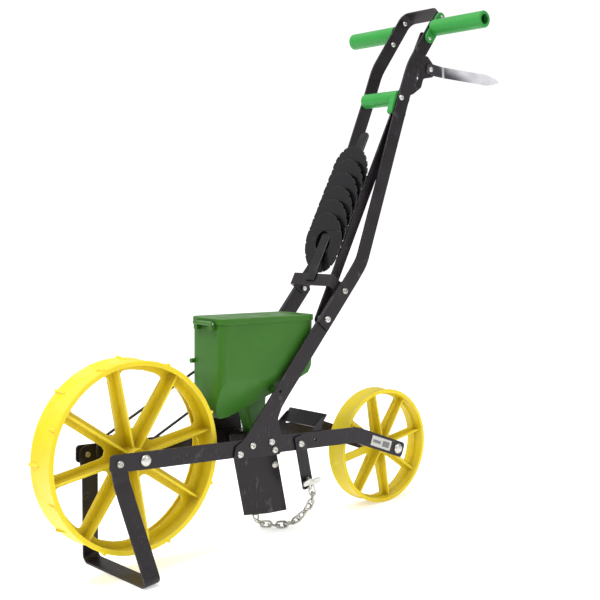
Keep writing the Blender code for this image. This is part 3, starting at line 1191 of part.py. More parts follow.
def main():
    machine = empty("machine", (0, 0, 0))
    hang([*make_frame(), *make_handle_group(), *make_rack(), *make_hangers(), *make_stand_bolts(),
          *make_opener_group(), *make_chain_screws()], machine)
    hopper_pieces = {piece.name: piece for piece in make_hopper_group()}
    moving = {"hopper_lid": (0, *LID_HINGE), "seed_plate": (0, *DRIVE_SHAFT), "driven_pulley": (0, *DRIVE_SHAFT)}
    body("lid", [hopper_pieces.pop("hopper_lid")], machine, moving["hopper_lid"])
    body("seed_drive", [hopper_pieces.pop("seed_plate"), hopper_pieces.pop("driven_pulley")], machine,
         moving["seed_plate"])
    hang(hopper_pieces.values(), machine)
    body("front_wheel", [make_front_wheel(), make_front_pulley()], machine, (0, *FRONT_AXLE))
    body("rear_wheel", [make_rear_wheel()], machine, (0, *REAR_AXLE))
    hang(make_axles(), machine)
    body("stand", [make_stand()], machine, (0, *STAND_PIVOT))
    body("chain", [make_chain()], machine, (0, *HANGER_EYE))
    arm, plate, spacer, blade_bolt, blade = make_marker()
    hang([spacer], machine)
    body("marker_arm", [arm, plate, blade_bolt], machine, (0, *MARKER_PIVOT))
    body("marker_blade", [blade], machine, (0, BLADE_BOLT_Y, BLADE_BOLT_Z))
    shade_rounds()
    # Tip the machine back about its rear axle, then centre its length over the origin.
    machine.rotation_euler = (-TILT, 0, 0)
    rear = Vector((0, *REAR_AXLE))
    machine.location = rear - machine.rotation_euler.to_matrix() @ rear
    machine.location.y -= middle_of_length()
    bpy.context.view_layer.update()


main()
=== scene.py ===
import json
import math

import bmesh
import bpy
from mathutils import Matrix, Vector


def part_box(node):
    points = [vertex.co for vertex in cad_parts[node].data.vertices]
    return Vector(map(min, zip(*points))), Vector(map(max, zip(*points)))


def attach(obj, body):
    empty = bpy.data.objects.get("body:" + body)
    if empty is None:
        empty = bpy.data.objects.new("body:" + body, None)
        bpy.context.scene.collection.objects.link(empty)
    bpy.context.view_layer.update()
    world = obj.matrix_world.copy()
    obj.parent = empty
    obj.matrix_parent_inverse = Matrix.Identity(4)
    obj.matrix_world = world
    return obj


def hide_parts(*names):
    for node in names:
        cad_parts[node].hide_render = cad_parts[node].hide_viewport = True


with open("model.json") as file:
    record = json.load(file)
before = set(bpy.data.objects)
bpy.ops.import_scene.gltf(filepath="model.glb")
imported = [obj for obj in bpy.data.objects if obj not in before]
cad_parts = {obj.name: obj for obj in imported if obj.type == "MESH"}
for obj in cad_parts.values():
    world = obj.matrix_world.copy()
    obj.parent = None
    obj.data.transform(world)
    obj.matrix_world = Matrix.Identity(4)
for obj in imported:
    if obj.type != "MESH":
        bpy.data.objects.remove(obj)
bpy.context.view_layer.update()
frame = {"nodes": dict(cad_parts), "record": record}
nodes = frame["nodes"]

TURN = 2 * math.pi

# Sockets of the colour Mix node, whose names are shared with its other data types
COLOUR_A, COLOUR_B, COLOUR_RESULT = 6, 7, 2
NUMBER_A, NUMBER_B = 2, 3


# Shared shader effects. Each is a node group that gives masks, values or normals only.


class Sheet:
    """One node tree, with a short way to add a node and fill its sockets."""

    def __init__(self, tree):
        self.tree = tree

    def add(self, kind, sockets=None, out=0, **settings):
        node = self.tree.nodes.new(kind)
        for key, value in settings.items():
            setattr(node, key, value)
        for key, value in (sockets or {}).items():
            socket = node.inputs[key]
            if isinstance(value, bpy.types.NodeSocket):
                self.tree.links.new(value, socket)
            else:
                socket.default_value = value
        return node.outputs[out]

    def maths(self, operation, a, b=0.0, clamp=False):
        return self.add("ShaderNodeMath", {0: a, 1: b}, operation=operation, use_clamp=clamp)

    def fade(self, value, low, high, to_low=0.0, to_high=1.0):
        return self.add(
            "ShaderNodeMapRange",
            {"Value": value, "From Min": low, "From Max": high, "To Min": to_low,
             "To Max": to_high},
            interpolation_type="SMOOTHSTEP",
        )

    def noise(self, place, scale, detail):
        sockets = {"Vector": place, "Scale": scale, "Detail": detail}
        return self.add("ShaderNodeTexNoise", sockets)

    def blend(self, amount, a, b):
        sockets = {0: amount, COLOUR_A: a, COLOUR_B: b}
        return self.add("ShaderNodeMix", sockets, out=COLOUR_RESULT, data_type="RGBA")


def effect(name, inputs, outputs):
    """An empty node group: (sheet, its input sockets, its output node)."""
    tree = bpy.data.node_groups.new(name, "ShaderNodeTree")
    for label, kind, value in inputs:
        socket = tree.interface.new_socket(label, in_out="INPUT", socket_type=kind)
        if value is not None:
            socket.default_value = value
    for label, kind in outputs:
        tree.interface.new_socket(label, in_out="OUTPUT", socket_type=kind)
    entry = tree.nodes.new("NodeGroupInput")
    leave = tree.nodes.new("NodeGroupOutput")
    return Sheet(tree), entry.outputs, leave.inputs


NUMBER, ARROW = "NodeSocketFloat", "NodeSocketVector"


def make_edge_wear():
    """Where a corner is rubbed: high on rounded edges, broken up so that it comes and goes."""
    sheet, given, result = effect(
        "Edge wear",
        [("Radius", NUMBER, 0.0015), ("Amount", NUMBER, 0.5), ("Break-up", NUMBER, 60.0)],
        [("Mask", NUMBER)],
    )
    rounded = sheet.add("ShaderNodeBevel", {"Radius": given["Radius"]}, samples=4)
    flat = sheet.add("ShaderNodeNewGeometry", out="Normal")
    alike = sheet.add(
        "ShaderNodeVectorMath", {0: rounded, 1: flat}, out="Value", operation="DOT_PRODUCT"
    )
    corner = sheet.fade(alike, 0.995, 0.9)
    place = sheet.add("ShaderNodeTexCoord", out="Object")
    broken = sheet.noise(place, given["Break-up"], 4.0)
    level = sheet.maths("SUBTRACT", 1.0, given["Amount"])
    rubbed = sheet.maths("SUBTRACT", broken, level)
    rubbed = sheet.maths("MULTIPLY", sheet.maths("ADD", rubbed, 0.35), 2.5, clamp=True)
    mask = sheet.maths("MULTIPLY", corner, rubbed, clamp=True)
    sheet.tree.links.new(mask, result["Mask"])


def make_corner_painted_shade():
    """Painted shade in deep corners, from ambient occlusion, broken up unevenly."""
    sheet, given, result = effect(
        "Painted corner shade",
        [("Reach", NUMBER, 0.02), ("Break-up", NUMBER, 25.0)],
        [("Mask", NUMBER)],
    )
    shade = sheet.add(
        "ShaderNodeAmbientOcclusion", {"Distance": given["Reach"]}, out="AO", samples=4
    )
    closed = sheet.fade(shade, 0.95, 0.25)
    place = sheet.add("ShaderNodeTexCoord", out="Object")
    broken = sheet.noise(place, given["Break-up"], 5.0)
    mask = sheet.maths("MULTIPLY", closed, sheet.fade(broken, 0.25, 0.7, 0.35, 1.0), clamp=True)
    sheet.tree.links.new(mask, result["Mask"])


def make_skin():
    """The fine skin of a moulding or a coat of paint: a normal, and a mottle for its gloss."""
    sheet, given, result = effect(
        "Surface skin",
        [("Grain", NUMBER, 900.0), ("Depth", NUMBER, 0.1), ("Waviness", NUMBER, 0.05)],
        [("Normal", ARROW), ("Mottle", NUMBER)],
    )
    place = sheet.add("ShaderNodeTexCoord", out="Object")
    fine = sheet.noise(place, given["Grain"], 3.0)
    broad = sheet.noise(place, 28.0, 2.0)
    waves = sheet.add(
        "ShaderNodeBump", {"Strength": given["Waviness"], "Distance": 0.004, "Height": broad}
    )
    skin = sheet.add(
        "ShaderNodeBump",
        {"Strength": given["Depth"], "Distance": 0.0004, "Height": fine, "Normal": waves},
    )
    mottle = sheet.noise(place, 14.0, 6.0)
    sheet.tree.links.new(skin, result["Normal"])
    sheet.tree.links.new(mottle, result["Mottle"])


def make_scuffs():
    """Thin rubs and scratches that run in a few directions."""
    sheet, given, result = effect(
        "Scuffs", [("Amount", NUMBER, 0.3), ("Scale", NUMBER, 30.0)], [("Mask", NUMBER)]
    )
    place = sheet.add("ShaderNodeTexCoord", out="Object")
    layers = []
    for turn, stretch in (((0.3, 0.9, 0.2), (1.0, 14.0, 1.4)), ((1.1, 0.2, 0.7), (9.0, 1.0, 1.0))):
        laid = sheet.add("ShaderNodeMapping", {"Vector": place, "Rotation": turn, "Scale": stretch})
        line = sheet.noise(laid, given["Scale"], 7.0)
        layers.append(sheet.fade(line, 0.6, 0.72))
    either = sheet.maths("MAXIMUM", layers[0], layers[1])
    patchy = sheet.noise(place, 9.0, 2.0)
    either = sheet.maths("MULTIPLY", either, sheet.fade(patchy, 0.42, 0.62))
    mask = sheet.maths("MULTIPLY", either, given["Amount"], clamp=True)
    sheet.tree.links.new(mask, result["Mask"])


def make_settled_dust():
    """A little pale dust on faces that look up."""
    sheet, given, result = effect("Settled dust", [("Amount", NUMBER, 0.15)], [("Mask", NUMBER)])
    facing = sheet.add("ShaderNodeNewGeometry", out="Normal")
    up = sheet.add("ShaderNodeSeparateXYZ", {0: facing}, out="Z")
    place = sheet.add("ShaderNodeTexCoord", out="Object")
    cloud = sheet.noise(place, 35.0, 8.0)
    lying = sheet.maths("MULTIPLY", sheet.fade(up, 0.2, 0.9), sheet.fade(cloud, 0.4, 0.75))
    mask = sheet.maths("MULTIPLY", lying, given["Amount"], clamp=True)
    sheet.tree.links.new(mask, result["Mask"])


for make in (make_edge_wear, make_corner_painted_shade, make_skin, make_scuffs, make_settled_dust):
    make()


# Finishes

PALE_DUST = (0.62, 0.6, 0.54)
BELT_BLOOM = (0.2, 0.19, 0.17)
RUBBED_ENAMEL = (0.16, 0.15, 0.155)
BARE_CORNER = (0.33, 0.32, 0.32)
BRIGHT_ZINC = (0.9, 0.9, 0.88)
BLADE_DARK, BLADE_BRIGHT = (0.42, 0.42, 0.45), (0.6, 0.6, 0.62)
# Painted shade at the blade's root
BLADE_ROOT_SHADE = (0.012, 0.012, 0.018)
# Painted highlight along the blade's fold
BLADE_FOLD_HIGHLIGHT = (0.55, 0.55, 0.58)
BLADE_RUBS = (0.3, 0.3, 0.32)
# Shares of the blade's length, from its root
ROOT_SHADE_ENDS, STEEL_STARTS, FOLD_AT = 0.31, 0.62, 0.265


def finish_sheet(name):
    """A new material with its Principled shader: (material, sheet, shader node)."""
    material = bpy.data.materials.new(name)
    material.use_nodes = True
    tree = material.node_tree
    tree.nodes.clear()
    leave = tree.nodes.new("ShaderNodeOutputMaterial")
    shader = tree.nodes.new("ShaderNodeBsdfPrincipled")
    tree.links.new(shader.outputs[0], leave.inputs[0])
    return material, Sheet(tree), shader


def use(sheet, name, sockets, out=0):
    """Places a shared effect: one output, or all of them by name where out is None."""
    node = sheet.tree.nodes.new("ShaderNodeGroup")
    node.node_tree = bpy.data.node_groups[name]
    for key, value in sockets.items():
        node.inputs[key].default_value = value
    return node.outputs[out] if out is not None else node.outputs


def tint(rgb, factor=1.0):
    """An opaque colour, made lighter or darker by the factor."""
    return (rgb[0] * factor, rgb[1] * factor, rgb[2] * factor, 1.0)


def moulded_plastic(name, colour, deep, worn, rough, grain, depth, dust=0.12, soft=0.0):
    """Plastic from a mould: paler where corners rub, darker in deep corners as painted shade, with
    a fine skin.
    """
    material, sheet, shader = finish_sheet(name)
    skin = use(sheet, "Surface skin", {"Grain": grain, "Depth": depth, "Waviness": 0.06}, out=None)
    painted_corner_shade = use(sheet, "Painted corner shade", {"Reach": 0.03, "Break-up": 22.0})
    edges = use(sheet, "Edge wear", {"Radius": 0.0018, "Amount": 0.45, "Break-up": 55.0})
    rubs = use(sheet, "Scuffs", {"Amount": 0.22, "Scale": 24.0})
    dusty = use(sheet, "Settled dust", {"Amount": dust})
    varied = sheet.blend(sheet.fade(skin["Mottle"], 0.35, 0.7), tint(colour), tint(colour, 0.93))
    # Painted shade: deep corners take the darker corner colour
    shown = sheet.blend(sheet.maths("MULTIPLY", painted_corner_shade, 0.8), varied, tint(deep))
    shown = sheet.blend(sheet.maths("MULTIPLY", edges, 0.55), shown, tint(worn))
    shown = sheet.blend(rubs, shown, tint(worn))
    shown = sheet.blend(dusty, shown, tint(PALE_DUST))
    sheet.tree.links.new(shown, shader.inputs["Base Color"])
    gloss = sheet.fade(skin["Mottle"], 0.3, 0.7, rough - 0.05, rough + 0.08)
    gloss = sheet.maths("ADD", gloss, sheet.maths("MULTIPLY", rubs, 0.5), clamp=True)
    sheet.tree.links.new(gloss, shader.inputs["Roughness"])
    sheet.tree.links.new(skin["Normal"], shader.inputs["Normal"])
    shader.inputs["IOR"].default_value = 1.45
    shader.inputs["Specular IOR Level"].default_value = 0.35
    if soft:
        shader.inputs["Subsurface Weight"].default_value = soft
        shader.inputs["Subsurface Radius"].default_value = (0.6, 0.45, 0.1)
        shader.inputs["Subsurface Scale"].default_value = 0.004
    return material


def painted_steel(name, colour, rough, brown):
    """Sprayed enamel on steel: orange-peel skin, rubbed corners down to a thin metal line."""
    material, sheet, shader = finish_sheet(name)
    skin = use(sheet, "Surface skin", {"Grain": 420.0, "Depth": 0.22, "Waviness": 0.1}, out=None)
    painted_corner_shade = use(sheet, "Painted corner shade", {"Reach": 0.018, "Break-up": 30.0})
    edges = use(sheet, "Edge wear", {"Radius": 0.0009, "Amount": 0.32, "Break-up": 90.0})
    rubs = use(sheet, "Scuffs", {"Amount": 0.35, "Scale": 34.0})
    dusty = use(sheet, "Settled dust", {"Amount": 0.16})
    shown = sheet.blend(sheet.fade(skin["Mottle"], 0.35, 0.7), tint(colour), tint(colour, 1.35))
    # Painted shade: the enamel at half its colour in deep corners
    shown = sheet.blend(painted_corner_shade, shown, tint(colour, 0.5))
    shown = sheet.blend(rubs, shown, tint(RUBBED_ENAMEL))
    shown = sheet.blend(dusty, shown, tint(brown))
    shown = sheet.blend(sheet.maths("MULTIPLY", edges, 0.5), shown, tint(BARE_CORNER))
    sheet.tree.links.new(shown, shader.inputs["Base Color"])
    sheet.tree.links.new(sheet.maths("MULTIPLY", edges, 0.6), shader.inputs["Metallic"])
    shader.inputs["Specular IOR Level"].default_value = 0.3
    gloss = sheet.fade(skin["Mottle"], 0.3, 0.7, rough - 0.06, rough + 0.1)
    gloss = sheet.maths("ADD", gloss, sheet.maths("MULTIPLY", rubs, 0.4), clamp=True)
    sheet.tree.links.new(gloss, shader.inputs["Roughness"])
    sheet.tree.links.new(skin["Normal"], shader.inputs["Normal"])
    return material


def plated_steel(name, bright, dull, rough):
    """Zinc plate or uncoated steel: cloudy crystals, painted shade in corners, bright where it
    rubs.
    """
    material, sheet, shader = finish_sheet(name)
    skin = use(sheet, "Surface skin", {"Grain": 1100.0, "Depth": 0.12, "Waviness": 0.04}, out=None)
    painted_corner_shade = use(sheet, "Painted corner shade", {"Reach": 0.006, "Break-up": 120.0})
    edges = use(sheet, "Edge wear", {"Radius": 0.0006, "Amount": 0.6, "Break-up": 140.0})
    place = sheet.add("ShaderNodeTexCoord", out="Object")
    spangle = sheet.add("ShaderNodeTexVoronoi", {"Vector": place, "Scale": 420.0}, out="Color")
    spangle = sheet.add("ShaderNodeSeparateColor", {0: spangle})
    shown = sheet.blend(sheet.maths("MULTIPLY", spangle, 0.35), tint(bright), tint(dull))
    shown = sheet.blend(sheet.fade(skin["Mottle"], 0.5, 0.75), shown, tint(dull))
    # Painted shade: the dull tone, darker still, in deep corners
    shown = sheet.blend(painted_corner_shade, shown, tint(dull, 0.35))
    shown = sheet.blend(edges, shown, tint(BRIGHT_ZINC))
    sheet.tree.links.new(shown, shader.inputs["Base Color"])
    shader.inputs["Metallic"].default_value = 0.92
    gloss = sheet.fade(spangle, 0.0, 1.0, rough - 0.07, rough + 0.1)
    sheet.tree.links.new(gloss, shader.inputs["Roughness"])
    sheet.tree.links.new(skin["Normal"], shader.inputs["Normal"])
    return material


def rubber(name, colour):
    """Round belt rubber: matt, with a faint bloom and a fine grain."""
    material, sheet, shader = finish_sheet(name)
    skin = use(sheet, "Surface skin", {"Grain": 1500.0, "Depth": 0.3, "Waviness": 0.02}, out=None)
    dusty = use(sheet, "Settled dust", {"Amount": 0.25})
    shown = sheet.blend(sheet.fade(skin["Mottle"], 0.4, 0.7), tint(colour), tint(colour, 1.8))
    shown = sheet.blend(dusty, shown, tint(BELT_BLOOM))
    sheet.tree.links.new(shown, shader.inputs["Base Color"])
    shader.inputs["Roughness"].default_value = 0.72
    sheet.tree.links.new(skin["Normal"], shader.inputs["Normal"])
    return material


def marker_blade_steel(name):
    """Ground steel: painted shade at the root, fading out further along and higher up; a painted
    highlight on the fold.
    """
    material, sheet, shader = finish_sheet(name)
    skin = use(sheet, "Surface skin", {"Grain": 700.0, "Depth": 0.1, "Waviness": 0.05}, out=None)
    rubs = use(sheet, "Scuffs", {"Amount": 0.5, "Scale": 40.0})
    low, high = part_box("marker_blade")
    long = high.y - low.y
    place = sheet.add("ShaderNodeTexCoord", out="Object")
    apart = sheet.tree.nodes.new("ShaderNodeSeparateXYZ")
    sheet.tree.links.new(place, apart.inputs[0])
    along, up = apart.outputs["Y"], apart.outputs["Z"]
    ragged = sheet.noise(place, 60.0, 4.0)
    reach = sheet.maths("ADD", along, sheet.maths("MULTIPLY", ragged, 0.012))
    lift = sheet.fade(up, low.z, high.z, -0.03, 0.03)
    lit_steel_share = sheet.maths("ADD", reach, lift)
    lit_steel_share = sheet.fade(lit_steel_share, low.y + ROOT_SHADE_ENDS * long, low.y + STEEL_STARTS * long)
    fold = sheet.maths("ABSOLUTE", sheet.maths("SUBTRACT", along, low.y + FOLD_AT * long))
    fold = sheet.fade(fold, 0.0045, 0.0015)
    mottle = sheet.fade(skin["Mottle"], 0.3, 0.7)
    shown = sheet.blend(mottle, tint(BLADE_DARK), tint(BLADE_BRIGHT))
    # Painted shade: the root near-black, giving way to the steel further along and higher up
    shown = sheet.blend(lit_steel_share, tint(BLADE_ROOT_SHADE), shown)
    # Painted highlight: a bright metal line along the fold
    shown = sheet.blend(sheet.maths("MULTIPLY", fold, 0.8), shown, tint(BLADE_FOLD_HIGHLIGHT))
    shown = sheet.blend(sheet.maths("MULTIPLY", rubs, 0.5), shown, tint(BLADE_RUBS))
    sheet.tree.links.new(shown, shader.inputs["Base Color"])
    metal = sheet.maths("MAXIMUM", sheet.maths("MULTIPLY", lit_steel_share, 0.7), fold)
    sheet.tree.links.new(metal, shader.inputs["Metallic"])
    shader.inputs["Roughness"].default_value = 0.42
    drawn = sheet.add("ShaderNodeMapping", {"Vector": place, "Scale": (300.0, 12.0, 300.0)})
    lines = sheet.noise(drawn, 3.0, 3.0)
    ground = sheet.add(
        "ShaderNodeBump",
        {"Strength": 0.2, "Distance": 0.0003, "Height": lines, "Normal": skin["Normal"]},
    )
    sheet.tree.links.new(ground, shader.inputs["Normal"])
    return material


FINISHES = {
    "wheel_plastic": moulded_plastic(
        "Yellow wheel plastic", (0.8, 0.62, 0.012), (0.45, 0.32, 0.004), (0.93, 0.82, 0.15),
        0.4, 700.0, 0.12, soft=0.06,
    ),
    "grip_plastic": moulded_plastic(
        "Green grip plastic", (0.03, 0.27, 0.045), (0.008, 0.09, 0.015), (0.12, 0.42, 0.16),
        0.36, 900.0, 0.12, dust=0.05,
    ),
    "hopper_plastic": moulded_plastic(
        "Green hopper plastic", (0.032, 0.14, 0.009), (0.014, 0.055, 0.006), (0.1, 0.28, 0.05),
        0.38, 800.0, 0.14,
    ),
    "black_paint": painted_steel(
        "Black enamel on steel", (0.011, 0.008, 0.0105), 0.36, (0.07, 0.05, 0.04)
    ),
    "black_plastic": moulded_plastic(
        "Black moulded plastic", (0.008, 0.0075, 0.009), (0.003, 0.003, 0.003), (0.05, 0.05, 0.05),
        0.22, 850.0, 0.1, dust=0.05,
    ),
    "belt_rubber": rubber("Black belt rubber", (0.012, 0.012, 0.012)),
    "zinc_steel": plated_steel("Zinc plate", (0.62, 0.62, 0.58), (0.36, 0.35, 0.32), 0.34),
    "blade_steel": marker_blade_steel("Bright blade with a painted-shade root"),
}

# How far each finish's corners are rounded, in metres
SOFTENED = {
    "wheel_plastic": 0.0012, "grip_plastic": 0.0009, "hopper_plastic": 0.0016,
    "black_paint": 0.0005, "black_plastic": 0.0008, "belt_rubber": 0.0,
    "zinc_steel": 0.0005, "blade_steel": 0.0003,
}


WELD_GAP = 0.00002
SHARP_CORNER = math.radians(38.0)


def round_the_edges(piece, width):
    """Joined faces, rounded edges and even shading for a piece of the solid model."""
    weld = piece.modifiers.new("Join", "WELD")
    weld.merge_threshold = WELD_GAP
    if width:
        bevel = piece.modifiers.new("Rounded edges", "BEVEL")
        bevel.width = width
        bevel.segments = 2
        bevel.limit_method = "ANGLE"
        bevel.angle_limit = SHARP_CORNER
        bevel.use_clamp_overlap = True
        bevel.miter_outer = "MITER_ARC"
    even = piece.modifiers.new("Even shading", "WEIGHTED_NORMAL")
    even.keep_sharp = True


def dress(piece, slot):
    """Gives a piece its slot's finish."""
    piece.data.materials.clear()
    piece.data.materials.append(FINISHES[slot])


def finish_the_solid_parts():
    """Finish, rounded edges and even shading for every piece of the solid model."""
    slot_of = {entry["node"]: entry["material_slot"] for entry in frame["record"]["subparts"]}
    for name, piece in nodes.items():
        slot = slot_of[name]
        dress(piece, slot)
        own = piece.data.attributes.get("custom_normal")
        if own:
            piece.data.attributes.remove(own)
        for face in piece.data.polygons:
            face.use_smooth = True
        round_the_edges(piece, SOFTENED[slot])


finish_the_solid_parts()


# Details that the solid model leaves out or simplifies


def shape(name, slot, body, verts, faces, smooth=True):
    """A piece made from its own points and faces, riding on one body."""
    mesh = bpy.data.meshes.new(name)
    mesh.from_pydata([tuple(v) for v in verts], [], faces)
    mesh.update()
    work = bmesh.new()
    work.from_mesh(mesh)
    bmesh.ops.recalc_face_normals(work, faces=work.faces)
    work.to_mesh(mesh)
    work.free()
    for face in mesh.polygons:
        face.use_smooth = smooth
    piece = bpy.data.objects.new(name.replace(" ", "_"), mesh)
    bpy.context.scene.collection.objects.link(piece)
    dress(piece, slot)
    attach(piece, body)
    return piece


def skin_of(rows):
    """The points and faces of a skin over rings that all have the same number of points."""
    count = len(rows[0])
    faces = []
    for r in range(len(rows) - 1):
        for i in range(count):
            j = (i + 1) % count
            faces.append((r * count + i, r * count + j, (r + 1) * count + j, (r + 1) * count + i))
    return [point for row in rows for point in row], faces


BOLT_SIDES, CENTRE_HOLE = 20, 0.0001
HEAD_RADIUS, HEAD_HEIGHT, HEAD_SET_BACK = 0.0072, 0.0046, 0.0042
SECOND_FOOT_BOLTS = ((-0.1608, 0.2164), (-0.1034, 0.1977))
GRIP_BOLTS = ((0.4521, 1.1227), (0.4097, 1.0711))
GRIP_FLANGE, GRIP_NUT_REACH = 0.005, 0.0043
CROSS_TUBE_BOLT, CROSS_TUBE_FACE = (0.3153, 0.9351), 0.0601


def side_word(side):
    return "left" if side > 0 else "right"


def bolt_head(name, body, place, side, face_x, radius, height):
    """A domed bolt head with a small recess, on the face at face_x, on the given side."""
    shares = ((1.0, 0.0), (1.0, 0.35), (0.86, 0.75), (0.55, 1.0), (0.36, 1.02), (0.28, 0.55))
    profile = [(radius * reach, height * out) for reach, out in shares]
    profile.append((CENTRE_HOLE, height * 0.5))
    y, z = place
    turns = [TURN * i / BOLT_SIDES for i in range(BOLT_SIDES)]
    rows = [
        [(face_x + side * out, y + reach * math.cos(a), z + reach * math.sin(a)) for a in turns]
        for reach, out in profile
    ]
    verts, faces = skin_of(rows)
    return shape(name, "zinc_steel", body, verts, faces)


def middle_of(node):
    """A node's middle, lowest corner and highest corner."""
    low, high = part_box(node)
    return (low + high) / 2, low, high


def make_bolt_heads():
    """A domed head over the outer end of each pair of bolts in the solid model."""
    for side in (1, -1):
        for part in ("foot_bolt", "upper_handle_bolt", "lower_handle_bolt", "hanger_bolt",
                     "stand_bolt", "opener_bolt"):
            middle, low, high = middle_of(f"{side_word(side)}_{part}")
            face = (high.x if side > 0 else low.x) - side * HEAD_SET_BACK
            bolt_head(f"{side_word(side)} {part} head", "frame", (middle.y, middle.z), side, face,
                      HEAD_RADIUS, HEAD_HEIGHT)


def make_extra_bolts():
    """Bolts that the solid model leaves out: the riser feet, the grips and the cross tube."""
    _, _, riser_high = middle_of("left_riser")
    for place in SECOND_FOOT_BOLTS:
        for side in (1, -1):
            bolt_head(f"{side_word(side)} second foot bolt {round(-place[0] * 1000)}", "frame",
                      place, side, side * riser_high.x, HEAD_RADIUS, HEAD_HEIGHT)
    _, grip_low, _ = middle_of("left_grip")
    for place in GRIP_BOLTS:
        for side in (1, -1):
            word = f"{side_word(side)} grip bolt {round(place[1] * 1000)}"
            bolt_head(word, "frame", place, side, side * (grip_low.x + GRIP_FLANGE), 0.0042, 0.002)
            bolt_head(word + " nut", "frame", place, -side, side * (grip_low.x - GRIP_NUT_REACH),
                      0.0062, 0.0046)
    for side in (1, -1):
        bolt_head(f"{side_word(side)} cross tube bolt", "frame", CROSS_TUBE_BOLT, side,
                  side * CROSS_TUBE_FACE, 0.0066, 0.0042)


def tube_points():
    """The points of the solid model's chain tube, each once."""
    tube = nodes["covering_chain"].data
    spots = {}
    for vertex in tube.vertices:
        spots[tuple(round(c, 6) for c in vertex.co)] = vertex.co.copy()
    return list(spots.values())


LINK_PITCH, LINK_WIRE, LINK_HALF_LONG, LINK_HALF_WIDE = 0.0175, 0.0022, 0.0128, 0.0066
LINK_STEPS, WIRE_STEPS = 16, 8
LINK_BEND, LINK_FIRST_TWIST = 0.0016, 0.5
LINK_ALONG = 0.004      # how far each way a link looks for the chain's direction
LINE_STEPS = 34         # steps in half a turn about the middle of the hangers' eyes
EYE_RISE = 0.004


def chain_line(low, high):
    """The chain's middle line: the tube's points averaged in short steps of angle."""
    centre = Vector((0, (low.y + high.y) / 2, high.z))
    steps = {}
    for p in sorted(tube_points(), key=lambda p: -p.x):
        angle = math.atan2(centre.z - p.z + EYE_RISE, p.x)
        steps.setdefault(int(angle / math.pi * LINE_STEPS), []).append(p)
    return [sum(steps[key], Vector()) / len(steps[key]) for key in sorted(steps)]


def link_loop(here, along, twist):
    """The middle line of one twisted link."""
    side = along.cross(Vector((0, 1, 0.2))).normalized()
    across = side * math.cos(twist) + along.cross(side) * math.sin(twist)
    lift = along.cross(across)
    straight = LINK_HALF_LONG - LINK_HALF_WIDE
    loop = []
    for k in range(LINK_STEPS):
        a = TURN * k / LINK_STEPS
        stretch = straight if math.cos(a) > 0.05 else -straight if math.cos(a) < -0.05 else 0
        u = LINK_HALF_WIDE * math.cos(a) + stretch
        v = LINK_HALF_WIDE * math.sin(a)
        loop.append(here + along * u + across * v + lift * (LINK_BEND * math.sin(2 * a)))
    return loop


def add_link(verts, faces, here, loop, lowest):
    """Round wire along a link's middle line, never below the solid model's chain."""
    start = len(verts)
    for k in range(LINK_STEPS):
        ahead = (loop[(k + 1) % LINK_STEPS] - loop[k - 1]).normalized()
        out = (loop[k] - here).normalized()
        out = (out - ahead * out.dot(ahead)).normalized()
        up = ahead.cross(out)
        for m in range(WIRE_STEPS):
            b = TURN * m / WIRE_STEPS
            point = loop[k] + (out * math.cos(b) + up * math.sin(b)) * LINK_WIRE
            point.z = max(point.z, lowest)
            verts.append(point)
    for k in range(LINK_STEPS):
        near, far = start + k * WIRE_STEPS, start + (k + 1) % LINK_STEPS * WIRE_STEPS
        for m in range(WIRE_STEPS):
            n = (m + 1) % WIRE_STEPS
            faces.append((near + m, near + n, far + n, far + m))


def make_chain_links():
    """Twisted wire links along the tube that stands for the chain."""
    low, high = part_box("covering_chain")
    line = chain_line(low, high)
    spans = [0.0]
    for a, b in zip(line, line[1:]):
        spans.append(spans[-1] + (b - a).length)
    total = spans[-1]

    def at(distance):
        distance = min(max(distance, 0.0), total)
        for i in range(len(line) - 1):
            if distance <= spans[i + 1] or i == len(line) - 2:
                share = (distance - spans[i]) / max(1e-9, spans[i + 1] - spans[i])
                return line[i].lerp(line[i + 1], share)

    count = int(total / LINK_PITCH)
    verts, faces = [], []
    for n in range(count + 1):
        place = n * total / count
        here = at(place)
        along = (at(place + LINK_ALONG) - at(place - LINK_ALONG)).normalized()
        loop = link_loop(here, along, n * math.pi / 2 + LINK_FIRST_TWIST)
        add_link(verts, faces, here, loop, low.z)
    chain = shape("Chain links", "zinc_steel", "covering_chain", verts, faces)
    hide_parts("covering_chain")


def plain_finish(name, grey, rough):
    material, _, shader = finish_sheet(name)
    shader.inputs["Base Color"].default_value = (*grey, 1)
    shader.inputs["Roughness"].default_value = rough
    return material, shader


LABEL_AHEAD = Vector((0, -0.92, 0.39)).normalized()
LABEL_UP = Vector((0, 0.39, 0.92)).normalized()
LABEL_PROUD = 0.00015


def make_rail_label():
    """A plain label with two darker bands on the left rail, ahead of the rear axle."""
    _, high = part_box("left_rail")
    face = high.x + LABEL_PROUD
    axle, _, _ = middle_of("rear_axle_bolt")
    pale, _ = plain_finish("Plain pale label", (0.5, 0.5, 0.48), 0.45)
    dark, _ = plain_finish("Plain grey label print", (0.16, 0.16, 0.16), 0.5)
    for name, start, end, half, rise, finish in (
            ("Rail label", 0.024, 0.088, 0.0115, 0.0, pale),
            ("Rail label band", 0.030, 0.052, 0.0065, 0.0001, dark),
            ("Rail label lower band", 0.058, 0.083, 0.0035, 0.0001, dark)):
        corners = []
        for along, over in ((start, -half), (end, -half), (end, half), (start, half)):
            corner = Vector((face + rise, axle.y, axle.z))
            corners.append(corner + LABEL_AHEAD * along + LABEL_UP * over)
        piece = shape(name, "black_paint", "frame", corners, [(0, 1, 2, 3)], smooth=False)
        piece.data.materials.clear()
        piece.data.materials.append(finish)


make_bolt_heads()
make_extra_bolts()
make_chain_links()
make_rail_label()


# Studio


FLOOR_REACH, FLOOR_DROP, FLOOR_GLOW = 12.0, 0.0005, 0.42
AIR_LOW, AIR_HIGH = 0.42, 0.95
BACKDROP = 1.05


